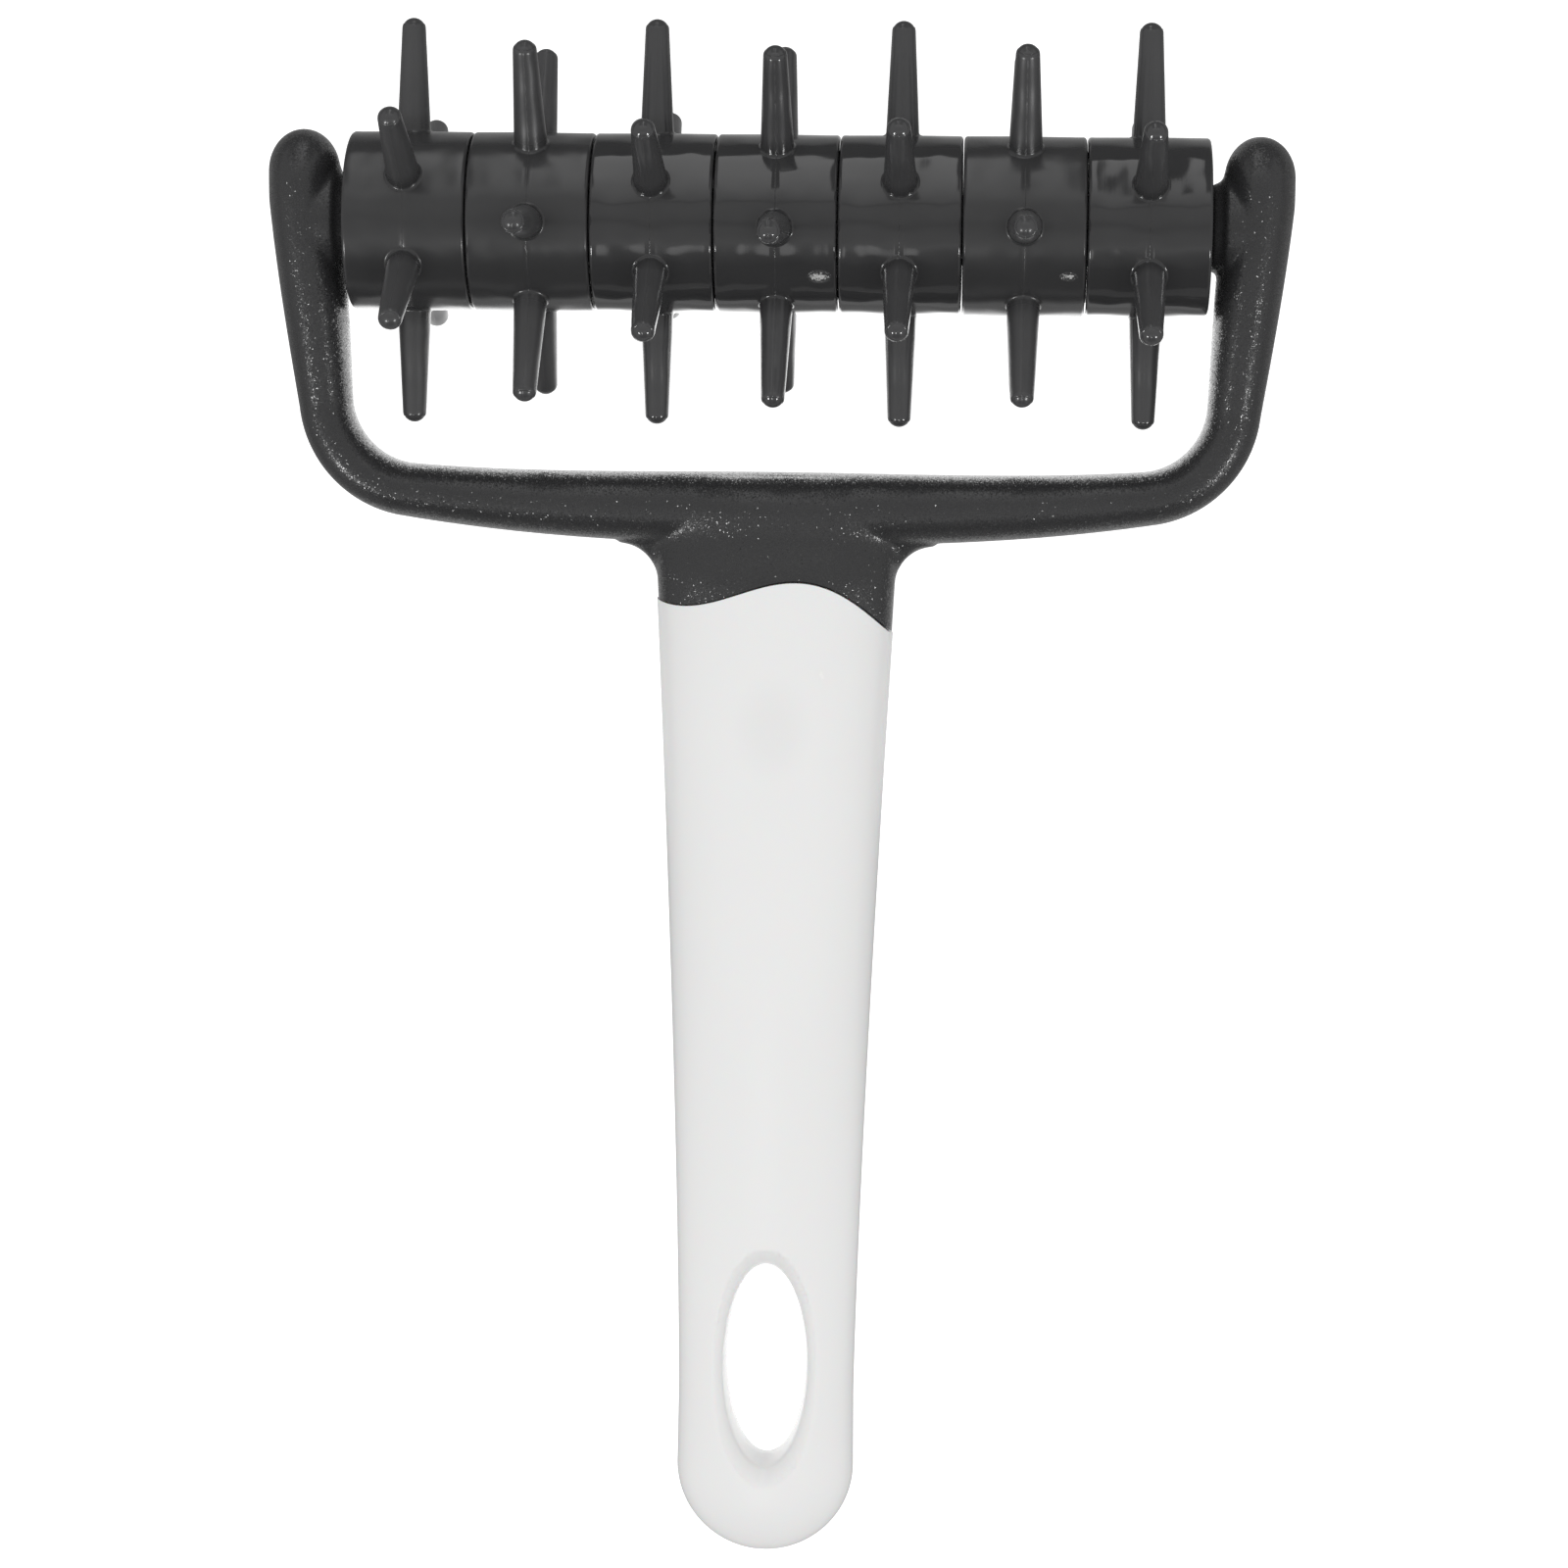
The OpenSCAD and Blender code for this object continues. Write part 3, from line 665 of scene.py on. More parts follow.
@dataclass(frozen=True)
class RingFinish(Finish):
    """Dark polished plastic with lathe lines, a mould line, a whitened gate mark and a painted sheen that lightens
    the spikes.
    """

    polish: Polish = Polish.MIRROR
    line_depth: float = 0.003
    line_pitch: float = 0.35
    wave_depth: float = 0.4
    gate_place: tuple[float, float, float] = (0.0, 0.0, 0.0)
    gate_reach: float = 1.0
    barrel_r: float = 11.65
    spike_painted_sheen: float = 1.55
    spike_dull: float = 0.14
    tip_start: float = 24.9

    def material(self) -> bpy.types.Material:
        """Builds the material."""
        material, graph, shader = self.start()
        place = graph.place()
        cloud = Effect.use(graph, Effect.drift(), {"Place": place, "Size": 6.0, "Amount": 0.12})
        dust = Effect.use(graph, Effect.specks(), {"Place": place, "Spacing": 2.6, "Share": 0.09,
                                                   "Radius": 0.06})
        along = graph.add("SeparateXYZ", {0: place}).outputs[0]
        seam = Effect.use(graph, Effect.mould_line(), {"Place": place, "Across": along, "Width": 0.09})
        lines = Effect.use(graph, Effect.lathe_lines(), {
            "Place": place, "Pitch": self.line_pitch, "Depth": self.line_depth})
        away = graph.vector("MULTIPLY", graph.vector("SUBTRACT", place, self.gate_place), (0.7, 1.15, 1.15))
        off = graph.add("VectorMath", {0: away}, operation="LENGTH").outputs["Value"]
        torn = graph.add("TexNoise", {"Vector": place, "Scale": 2.4, "Detail": 5.0, "Roughness": 0.75})
        ragged = graph.maths("MULTIPLY", graph.maths("SUBTRACT", torn.outputs[0], 0.5), 2.6)
        reach = graph.maths("ADD", off, ragged)
        gate = graph.span(reach, self.gate_reach * 0.3, self.gate_reach * 0.5, 1.0, 0.0)
        turned = graph.vector("MULTIPLY", place, (0.0, 1.0, 1.0))
        radius = graph.add("VectorMath", {0: turned}, operation="LENGTH").outputs["Value"]
        spike = graph.span(radius, self.barrel_r + 0.3, self.barrel_r + 3.0)
        # Painted sheen: the base colour is made lighter on the spikes, standing in for the light that their sides
        # catch.
        pale = graph.maths("ADD", graph.maths("MULTIPLY", spike, self.spike_painted_sheen - 1), 1.0)
        tone = graph.vector("SCALE", self.rgba()[:3], graph.maths("MULTIPLY", cloud.outputs[0], pale))
        dusty = graph.blend(graph.maths("MULTIPLY", dust.outputs[0], 0.7), tone, (0.55, 0.55, 0.54, 1))
        marked = graph.blend(graph.maths("MULTIPLY", gate, 0.8), dusty, (0.8, 0.8, 0.79, 1))
        near = graph.span(off, self.gate_reach * 0.5, self.gate_reach * 0.9, 1.0, 0.0)
        sunk = graph.add("TexNoise", {"Vector": place, "Scale": 0.16, "Detail": 1.0})
        height = graph.maths("ADD", lines.outputs[0], graph.maths("MULTIPLY", seam.outputs[0], 0.03))
        height = graph.maths("ADD", height, graph.maths("MULTIPLY", sunk.outputs[0], self.wave_depth))
        rough = graph.maths("MULTIPLY", graph.maths("MULTIPLY", torn.outputs[0], near), 0.3)
        height = graph.maths("ADD", height, rough)
        bump = graph.add("Bump", {"Height": height, "Distance": MM, "Strength": 1.0})
        gloss = graph.maths("MULTIPLY", cloud.outputs[0], self.roughness)
        gloss = graph.maths("ADD", gloss, graph.maths("MULTIPLY", dust.outputs[0], 0.4))
        side = graph.maths("MULTIPLY", spike, graph.span(radius, self.tip_start, self.tip_start + 0.5, 1, 0))
        gloss = graph.maths("ADD", gloss, graph.maths("MULTIPLY", side, self.spike_dull))
        for key, value in (("Base Color", marked), ("Roughness", gloss), ("Normal", bump.outputs[0])):
            graph.tree.links.new(value, shader.inputs[key])
        return material


@dataclass(frozen=True)
class HandleFinish(Finish):
    """White semi-gloss plastic with faint flow marks, scuffs and a painted soft shade in the thumb rest."""

    scuff_depth: float = 0.006
    rest_y: float = -65.7
    rest_size: tuple[float, float] = (6.5, 8.5)
    painted_rest_shade: float = 0.035

    def material(self) -> bpy.types.Material:
        """Builds the material."""
        material, graph, shader = self.start()
        place = graph.place()
        cloud = Effect.use(graph, Effect.drift(), {"Place": place, "Size": 22.0, "Amount": 0.012})
        fine = Effect.use(graph, Effect.drift(), {"Place": place, "Size": 3.0, "Amount": 0.25})
        dust = Effect.use(graph, Effect.specks(), {"Place": place, "Spacing": 13.0, "Share": 0.16,
                                                   "Radius": 0.11})
        stretched = graph.vector("MULTIPLY", place, (1.0, 0.16, 1.0))
        flow = graph.add("TexNoise", {"Vector": stretched, "Scale": 0.5, "Detail": 3.0})
        # Painted shade: the colour is darkened over the thumb rest, standing in for the shade in its shallow dent.
        wide, long = self.rest_size
        from_rest = graph.vector("SUBTRACT", place, (0, self.rest_y, 0))
        around = graph.vector("MULTIPLY", from_rest, (1 / wide, 1 / long, 0))
        off = graph.add("VectorMath", {0: around}, operation="LENGTH").outputs["Value"]
        shade = graph.span(off, 0.2, 1.0, 1 - self.painted_rest_shade, 1.0)
        tone = graph.vector("SCALE", self.rgba()[:3], graph.maths("MULTIPLY", cloud.outputs[0], shade))
        marked = graph.blend(graph.maths("MULTIPLY", dust.outputs[0], 0.16), tone, (0.45, 0.45, 0.43, 1))
        bump = graph.add("Bump", {"Height": graph.maths("MULTIPLY", flow.outputs[0], self.scuff_depth),
                                  "Distance": MM, "Strength": 1.0})
        gloss = graph.maths("MULTIPLY", fine.outputs[0], self.roughness)
        for key, value in (("Base Color", marked), ("Roughness", gloss), ("Normal", bump.outputs[0])):
            graph.tree.links.new(value, shader.inputs[key])
        shader.inputs["Subsurface Weight"].default_value = 0.12
        shader.inputs["Subsurface Scale"].default_value = 1.5 * MM
        return material


@dataclass(frozen=True)
class SolidFinish(Finish):
    """Finish of a kept CAD solid: its pattern follows the place in the row frame, turned back level."""

    metal: float = 0.0
    drawn: float = 0.004

    def material(self) -> bpy.types.Material:
        """Builds the material."""
        material, graph, shader = self.start()
        spot = graph.add("TexCoord").outputs["Object"]
        level = graph.add("Mapping", {"Vector": spot, "Location": LIE.axle, "Rotation": (LIE.tilt, 0, 0)},
                          vector_type="TEXTURE")
        place = graph.vector("SCALE", level.outputs[0], 1 / MM)
        cloud = Effect.use(graph, Effect.drift(), {"Place": place, "Size": 5.0, "Amount": 0.2})
        along = graph.vector("MULTIPLY", place, (0.08, 1.0, 1.0) if self.metal else (1.0, 1.0, 1.0))
        lines = graph.add("TexNoise", {"Vector": along, "Scale": 5.0, "Detail": 4.0, "Roughness": 0.7})
        tone = graph.vector("SCALE", self.rgba()[:3], cloud.outputs[0])
        bump = graph.add("Bump", {"Height": graph.maths("MULTIPLY", lines.outputs[0], self.drawn),
                                  "Distance": MM, "Strength": 1.0})
        gloss = graph.maths("MULTIPLY", cloud.outputs[0], self.roughness)
        for key, value in (("Base Color", tone), ("Roughness", gloss), ("Normal", bump.outputs[0])):
            graph.tree.links.new(value, shader.inputs[key])
        shader.inputs["Metallic"].default_value = self.metal
        return material


def settle(piece: bpy.types.Object, body: Body, replaced: str | None = None) -> None:
    """Lays a finished piece down in the row frame and lets it ride on its body.

    Args:
        piece: the piece, in the fork's frame and in millimetres.
        body: the CAD body that it moves with.
        replaced: the CAD node that it stands for, if any.
    """
    Bench.put(piece, LIE.matrix())
    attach(piece, body.value)
    if replaced:
        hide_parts(replaced)
    LOG.info("%s: %d faces on body %s", piece.name, len(piece.data.polygons), body.value)


@dataclass
class Fork:
    """The dark fork: two arms with ears and bosses, a bowed crossbar and the neck up to the wave."""

    boss_face: float
    ear_w: float = 9.2
    ear_t: float = 14.2
    ear_rise: float = 11.85
    ear_cap: float = 5.4
    lean_start: float = -3.0
    arm_lean: float = math.radians(5.5)
    bend_start: float = 24.1
    bend_r: float = 12.5
    bar_bow: float = math.radians(6.6)
    bend_w: float = 7.1
    bend_t: float = 9.6
    bar_w: float = 9.6
    bar_t: float = 10.4
    outer_roll: float = 0.48
    inner_roll: float = 0.42
    boss_r: float = 5.75
    boss_proud: float = 1.6
    boss_flare: float = 1.3
    boss_edge_r: float = 0.3
    rod_hole_r: float = 2.02
    rod_hole_depth: float = 4.0
    neck_len: float = 7.85
    neck_fillet: float = 5.0
    crown: float = 2.6
    crown_sink: float = 0.7
    lip_inset: float = 0.6
    lip_gap: float = 0.04
    web_t: float = 6.4
    blend_reach: float = 24.0
    blend_rounds: int = 30
    mouth_w: float = 31.5
    mouth_t: float = 15.5
    mouth_step: float = 0.15
    wave_gap: float = 0.25
    wave_h: float = 5.7
    wave_len: float = 48.0
    wave_crest: float = 7.2
    wave_slant: float = 0.4
    knife_far: float = 60.0
    knife_band: float = 16.0
    knife_half: float = 20.0
    bar_points: int = 56
    neck_points: int = 120
    cell: float = 0.33
    steps: int = 34
    finish: ForkFinish = ForkFinish("fork_spark_plastic", "fork_plastic", (0.030, 0.030, 0.031), 0.38)
    ear_x: float = field(init=False)
    arm_foot: Vector = field(init=False)
    bend_centre: Vector = field(init=False)
    bar_root: Vector = field(init=False)
    bar_depth: float = field(init=False)
    bar_edge: float = field(init=False)
    wave_depth: float = field(init=False)

    def __post_init__(self) -> None:
        """Works out the places that follow from the sizes."""
        self.ear_x = self.boss_face + self.boss_proud + self.ear_w / 2
        fall = self.bend_start - self.lean_start
        self.arm_foot = Vector((self.ear_x - fall * math.tan(self.arm_lean), self.bend_start))
        lean = Vector((math.cos(self.arm_lean), math.sin(self.arm_lean)))
        self.bend_centre = self.arm_foot - self.bend_r * lean
        bow = Vector((math.sin(self.bar_bow), math.cos(self.bar_bow)))
        self.bar_root = self.bend_centre + self.bend_r * bow
        self.bar_depth = self.bar_root.y + self.bar_sag()
        self.bar_edge = self.bar_depth + self.bar_w / 2
        self.wave_depth = self.bar_edge + self.neck_len

    def bar_sag(self) -> float:
        """How far the crossbar's middle lies deeper than its roots."""
        return self.bar_root.x * math.tan(self.bar_bow) / 3

    def wave_at(self, x: float) -> float:
        """Depth of the wave between neck and handle at a place across it."""
        swing = math.cos(math.tau * (x - self.wave_crest) / self.wave_len)
        return self.wave_depth + self.wave_slant * x - self.wave_h * swing

    def ring(self, name: str) -> bpy.types.Object:
        """The fork's section: it rolls off on both sides of a narrow flat."""
        piece = Bench.round_ring(name, self.bar_points)
        Bench.turn(math.pi / self.bar_points, "Y", Vector())
        for side, roll in ((1, self.outer_roll), (-1, self.inner_roll)):
            Bench.pick(piece, lambda at: at.x * side > 0)
            Bench.stretch((2 * roll, 1, 1), Vector())
            Bench.shift(Vector((side * (0.5 - roll), 0, 0)))
        Bench.pick(piece, lambda at: abs(at.x - (self.inner_roll - self.outer_roll) / 2) < 0.02, Pick.EDGES)
        bpy.ops.mesh.subdivide(number_cuts=9)
        bpy.ops.mesh.select_all(action="SELECT")
        return piece

    def neck_ring(self, name: str) -> bpy.types.Object:
        """The section that the neck shares with the handle."""
        return Bench.round_ring(name, self.neck_points, HandleShape.section_round)

    def ear_thin(self, up: float) -> float:
        """Share of the ear's thickness at a height above the axis, where its top is a round."""
        return math.sqrt(1 - (max(0.0, up - self.ear_rise + self.ear_t / 2) / (self.ear_t / 2)) ** 2)

    def half(self) -> list[tuple[float, float, float, float, float, float]]:
        """Sections of one half, from the ear's top to the middle of the crossbar.

        Returns:
            For each its place across and deep, its outward direction, its width and its thickness.
        """
        rows = []
        for angle in even(math.radians(88.5), 0, 18):
            up = self.ear_rise - self.ear_cap + self.ear_cap * math.sin(angle)
            narrow = math.cos(angle)
            thin = max(self.ear_thin(up), 0.03)
            rows.append((self.ear_x, -up, 1.0, 0.0, self.ear_w * narrow, self.ear_t * thin))
        for up in even(self.ear_rise - self.ear_cap, -self.lean_start, 6)[1:-1]:
            rows.append((self.ear_x, -up, 1.0, 0.0, self.ear_w, self.ear_t * self.ear_thin(up)))
        for share in even(0, 1, self.steps)[:-1]:
            s = math.sin(math.pi / 2 * (1 - share))
            rows.append((mix(self.ear_x, self.arm_foot.x, share),
                         mix(self.lean_start, self.arm_foot.y, share),
                         math.cos(self.arm_lean), math.sin(self.arm_lean),
                         mix(self.bend_w, self.ear_w, s), mix(self.bend_t, self.ear_t, s)))
        for angle in even(self.arm_lean, math.pi / 2 - self.bar_bow, self.steps)[:-1]:
            c, s = math.cos(angle), math.sin(angle)
            rows.append((self.bend_centre.x + self.bend_r * c, self.bend_centre.y + self.bend_r * s, c, s,
                         self.bend_w, self.bend_t))
        for share in even(0, 1, 2 * self.steps):
            u = 1 - share
            slope = math.atan(math.tan(self.bar_bow) * u * u)
            s = math.sin(math.pi / 2 * share)
            rows.append((self.bar_root.x * u, self.bar_depth - self.bar_sag() * u ** 3,
                         math.sin(slope), math.cos(slope),
                         mix(self.bend_w, self.bar_w, s), mix(self.bend_t, self.bar_t, s)))
        return rows

    def stations(self) -> list[Station]:
        """The sections from the right ear's top, through the crossbar, to the left ear's top."""
        right = self.half()
        rows = right + [(-x, d, -c, s, w, t) for x, d, c, s, w, t in reversed(right[:-1])]
        return [Station(Vector((x, -d, 0)), math.atan2(-s, c), w, t) for x, d, c, s, w, t in rows]

    def handle_half_w(self, depth: float) -> float:
        """Half of the neck's width beyond the fillets, where it follows the handle's taper."""
        return HandleShape().half_w(depth, self.wave_depth)

    def neck_stations(self, inset: float = 0.0) -> list[Station]:
        """Sections of the neck: a crown on the crossbar, a slight dip, then the rise to the handle's outline.

        Args:
            inset: how far the section stays within the neck's, all around.

        Returns:
            The sections.
        """
        back = self.wave_depth + self.wave_h + self.wave_slant * self.mouth_w / 2 + 1
        crest = self.wave_depth - self.wave_h / 2
        half_bar = self.bar_w / 2
        rows = []
        start = self.bar_depth - 0.9 * half_bar
        for depth in even(start, self.bar_depth, 10)[:-1] + even(self.bar_depth, back, 40):
            wide = self.handle_half_w(depth) - self.mouth_step
            past = (depth - self.bar_depth) / half_bar
            front = math.sqrt(1 - min(0.0, past) ** 2)
            dip = (self.bar_t + self.crown) * front - self.crown_sink * ease(past)
            rise = ease((depth - self.bar_depth - half_bar / 2) / (crest - self.bar_depth - half_bar / 2))
            thick = mix(dip, self.mouth_t - 2 * self.mouth_step, rise)
            rows.append(Station(Vector((0, -depth, 0)), 0, 2 * (wide - inset), thick - 2 * inset))
        return rows

    def web_stations(self) -> list[Station]:
        """Sections of the thin web that fillets the crossbar into the neck, seen from above."""
        fillet_end = self.bar_edge + self.neck_fillet
        depths = even(self.bar_depth + 1, self.bar_edge, 4)[:-1]
        depths += [mix(self.bar_edge, fillet_end, 1 - math.cos(a)) for a in even(0, math.pi / 2, 18)]
        rows = []
        for depth in depths:
            left = min(self.neck_fillet, max(0.0, fillet_end - depth))
            wide = self.handle_half_w(max(depth, self.bar_edge)) - self.mouth_step
            wide += self.neck_fillet - math.sqrt(self.neck_fillet ** 2 - left ** 2)
            rows.append(Station(Vector((0, -depth, 0)), 0, 2 * wide, self.web_t))
        return rows

    def blend_neck(self, piece: bpy.types.Object) -> None:
        """Runs the crossbar softly into the neck: smooths the top and the underside around their corners."""
        Bench.only(piece)
        group = piece.vertex_groups.new(name="blend")
        for point in piece.data.vertices:
            across, depth = abs(point.co.x), -point.co.y
            share = ease((self.blend_reach - across) / 6) * ease((depth - self.bar_depth + 3.4) / 2)
            share *= ease((self.bar_edge + self.neck_fillet + 1.5 - depth) / 3) * ease(abs(point.co.z) / 2)
            group.add([point.index], share, "REPLACE")
        bpy.ops.object.modifier_add(type="SMOOTH")
        modifier = piece.modifiers[-1]
        modifier.factor = 0.5
        modifier.iterations = self.blend_rounds
        modifier.vertex_group = group.name
        bpy.ops.object.modifier_apply(modifier=modifier.name)

    def boss(self, side: int) -> bpy.types.Object:
        """The round boss on one ear's inner side, flared into the ear."""
        face, top = self.boss_face, self.boss_face + self.boss_proud
        outline = [(face, 0.0), (face, self.boss_r - self.boss_edge_r),
                   (face + self.boss_edge_r, self.boss_r)]
        outline += [(top - self.boss_flare * (1 - math.sin(a)),
                     self.boss_r + self.boss_flare * (1 - math.cos(a)))
                    for a in even(0, math.pi / 2, 8)]
        outline += [(self.ear_x, self.boss_r + self.boss_flare), (self.ear_x, 0.0)]
        return Bench.turned("boss", [(side * a, r) for a, r in outline], 72)

    def wave_knife(self, keep_neck: bool, gap: float | None = None) -> bpy.types.Object:
        """A block bounded by the wave, on the side that is cut away.

        Args:
            keep_neck: True cuts the handle's side off, False the neck's.
            gap: the gap that the cuts on both sides would leave, if not the seen one.

        Returns:
            The block.
        """
        side = 1 if keep_neck else -1
        reach = self.mouth_w / 2 + 2
        off = side * (self.wave_gap if gap is None else gap) / 2
        edge = [(x, -self.wave_at(x) + off, -self.knife_half) for x in even(-reach, reach, 90)]
        piece = Bench.chain("wave_knife", edge)
        far = self.wave_depth + side * self.knife_far
        bpy.ops.mesh.extrude_edges_move(TRANSFORM_OT_translate={"value": (0, -side * self.knife_far, 0)})
        Bench.pick(piece, lambda at: abs(-at.y - far) < self.knife_band)
        Bench.stretch((1, 0, 1), Vector((0, -far, 0)))
        bpy.ops.mesh.select_all(action="SELECT")
        bpy.ops.mesh.extrude_region_move(TRANSFORM_OT_translate={"value": (0, 0, 2 * self.knife_half)})
        return Bench.close_up(piece)

    def build(self) -> bpy.types.Object:
        """Models the fork and dresses it.

        Returns:
            The fork, riding on the frame.
        """
        bar = Bench.loft("dressed_fork", self.stations(), self.ring)
        parts = [Bench.loft("neck", self.neck_stations(), self.neck_ring),
                 Bench.loft("web", self.web_stations(), self.neck_ring)]
        parts += [self.boss(side) for side in (1, -1)]
        Bench.only(bar, *parts)
        bpy.ops.object.join()
        Bench.fuse(bar, self.cell, 5)
        self.blend_neck(bar)
        for side in (1, -1):
            hole = Bench.turned("rod_hole", [(side * a, r) for a, r in (
                (self.boss_face - 1, 0.0), (self.boss_face - 1, self.rod_hole_r),
                (self.boss_face + self.rod_hole_depth, self.rod_hole_r),
                (self.boss_face + self.rod_hole_depth, 0.0))], 48)
            Bench.carve(bar, hole, Cut.REMOVE)
        Bench.carve(bar, self.wave_knife(keep_neck=True), Cut.REMOVE)
        lip = Bench.loft("lip", self.neck_stations(self.lip_inset)[12:], self.neck_ring)
        Bench.done(lip)
        Bench.carve(lip, self.wave_knife(keep_neck=True, gap=2 * self.lip_gap - self.wave_gap), Cut.REMOVE)
        Bench.carve(bar, lip, Cut.JOIN)
        Bench.note_places(bar)
        Bench.soften(bar, 40)
        self.finish.wear(bar, self.finish.material())
        settle(bar, Body.FRAME, "fork")
        return bar


@dataclass(frozen=True)
class HandleShape:
    """The outline that handle and neck share."""

    length: float = 130.7
    mouth_w: float = 31.5
    waist_w: float = 23.9
    waist_back: float = 22.6
    end_w: float = 24.14
    mouth_t: float = 15.5
    palm_t: float = 17.0
    palm_back: float = 40.0
    end_t: float = 11.0
    thin_back: float = 92.0
    taper_ease: float = 1.4
    end_round: float = 2.6
    section_round: float = 2.3

    def half_w(self, depth: float, mouth: float) -> float:
        """Half of the handle's width at a depth, with the mouth's middle at the given depth."""
        end = mouth + self.length
        waist, cap = end - self.waist_back, end - self.end_w / 2
        if depth <= waist:
            return mix(self.waist_w, self.mouth_w, ((waist - depth) / (waist - mouth)) ** self.taper_ease) / 2
        if depth <= cap:
            return mix(self.waist_w, self.end_w, (depth - waist) / (cap - waist)) / 2
        return self.end_w / 2 * math.sqrt(max(0.0, 1 - ((depth - cap) / (self.end_w / 2)) ** 2))

    def half_t(self, depth: float, mouth: float) -> float:
        """Half of the handle's thickness at a depth."""
        end = mouth + self.length
        palm, thin, cap = mouth + self.palm_back, mouth + self.thin_back, end - self.end_w / 2
        if depth <= palm:
            full = mix(self.mouth_t, self.palm_t, ease((depth - mouth) / self.palm_back))
        else:
            full = mix(self.palm_t, self.end_t, ease((depth - palm) / (thin - palm)))
        if depth > cap:
            share = min(1.0, (depth - cap) / (self.end_w / 2))
            full *= max(0.0, 1 - share ** self.end_round) ** (1 / self.end_round)
        return full / 2


@dataclass
class Handle:
    """The white handle, a hair off square, with its thumb rest and its dished hang hole."""

    fork: Fork
    shape: HandleShape = HandleShape()
    section_points: int = 112
    hole_back: float = 26.9
    hole_len: float = 28.8
    hole_w: float = 11.7
    hole_waist: float = 0.9
    rim_gap: float = 8.0
    dish_w: float = 2.1
    rest_depth: float = 68.0
    rest_len: float = 9.0
    rest_reach: float = 7.0
    rest_sink: float = 0.35
    lean: float = math.radians(0.25)
    finish: HandleFinish = HandleFinish("handle_white_plastic", "handle_plastic", (0.875, 0.875, 0.87), 0.24)

    def stations(self) -> list[Station]:
        """Sections from before the wave to the round end."""
        mouth = self.fork.wave_depth
        front = mouth - self.fork.wave_h - self.fork.wave_slant * self.fork.mouth_w / 2 - 1
        end = mouth + self.shape.length
        cap = end - self.shape.end_w / 2
        depths = even(front, cap, 150)[:-1]
        depths += [cap + self.shape.end_w / 2 * math.sin(a) for a in even(0, math.radians(89.4), 34)]
        return [Station(Vector((0, -d, 0)), 0,
                        2 * self.shape.half_w(d, mouth), 2 * self.shape.half_t(d, mouth))
                for d in depths]

    def hole_depth(self) -> float:
        """Depth of the hang hole's middle."""
        return self.fork.wave_depth + self.shape.length - self.hole_back

    def spread(self, z: float) -> float:
        """How much wider than its rims the hang hole is at a height."""
        half = self.rim_gap / 2
        if abs(z) <= half:
            return -self.hole_waist / 2 * (1 - (z / half) ** 2)
        return self.dish_w * (abs(z) - half) / ((self.shape.end_t - self.rim_gap) / 2)

    def hole_tool(self) -> bpy.types.Object:
        """The dished hole as a solid: an ellipse drawn up through its waist, its rims and its dishes."""
        depth = self.hole_depth()
        half = self.rim_gap / 2
        heights = [-9.0] + even(-half, half, 16) + [9.0]
        Bench.only()
        bpy.ops.mesh.primitive_circle_add(vertices=128, radius=1)
        piece = bpy.context.object
        Bench.edit(piece)
        before = Vector((1.0, 1.0, 0.0))
        for i, z in enumerate(heights):
            after = Vector((self.hole_w / 2 + self.spread(z), self.hole_len / 2 + self.spread(z), z))
            step = Vector((0, 0, after.z - before.z)) if i else Vector((0, -depth, z))
            if i:
                bpy.ops.mesh.extrude_edges_move(TRANSFORM_OT_translate={"value": step})
            else:
                Bench.shift(step)
            Bench.stretch((after.x / before.x, after.y / before.y, 1), Vector((0, -depth, z)))
            before = after
        return Bench.close_up(piece)

    def press_thumb_rest(self, piece: bpy.types.Object) -> None:
        """Presses the shallow thumb rest into the front with a soft falloff."""
        half_w, half_len = 0.8, self.rest_len / 2
        Bench.pick(piece, lambda at: (at.z > 0 and abs(at.x) < half_w
                                      and abs(-at.y - self.rest_depth) < half_len))
        bpy.ops.transform.translate(value=(0, 0, -self.rest_sink), use_proportional_edit=True,
                                    proportional_edit_falloff="SMOOTH", proportional_size=self.rest_reach)

    def ease_crease(self, piece: bpy.types.Object) -> None:
        """Takes the sharpness off the dish's edge and the rim by smoothing only the points on them."""
        depth = self.hole_depth()

        def near(at: Vector) -> bool:
            """Whether a point lies on the dish's flank or its edges."""
            if abs(at.z) < self.rim_gap / 2 - 0.6:
                return False
            wide, tall = self.hole_w / 2 + self.dish_w + 0.7, self.hole_len / 2 + self.dish_w + 0.7
            return (at.x / wide) ** 2 + ((at.y + depth) / tall) ** 2 < 1
        Bench.pick(piece, near)
        bpy.ops.mesh.vertices_smooth(factor=0.5, repeat=1)

    def build(self) -> bpy.types.Object:
        """Models the handle and dresses it.

        Returns:
            The handle, riding on the frame.
        """
        piece = Bench.loft("dressed_handle", self.stations(),
                           lambda name: Bench.round_ring(name, self.section_points, self.shape.section_round))
        self.press_thumb_rest(piece)
        Bench.done(piece)
        Bench.carve(piece, self.fork.wave_knife(keep_neck=False), Cut.REMOVE)
        Bench.carve(piece, self.hole_tool(), Cut.REMOVE)
        self.ease_crease(piece)
        bpy.ops.mesh.select_all(action="SELECT")
        Bench.turn(-self.lean, "Z", Vector((0, -self.fork.wave_depth, 0)))
        Bench.done(piece)
        Bench.note_places(piece)
        Bench.soften(piece, 50)
        self.finish.wear(piece, self.finish.material())
        settle(piece, Body.FRAME, "handle")
        return piece


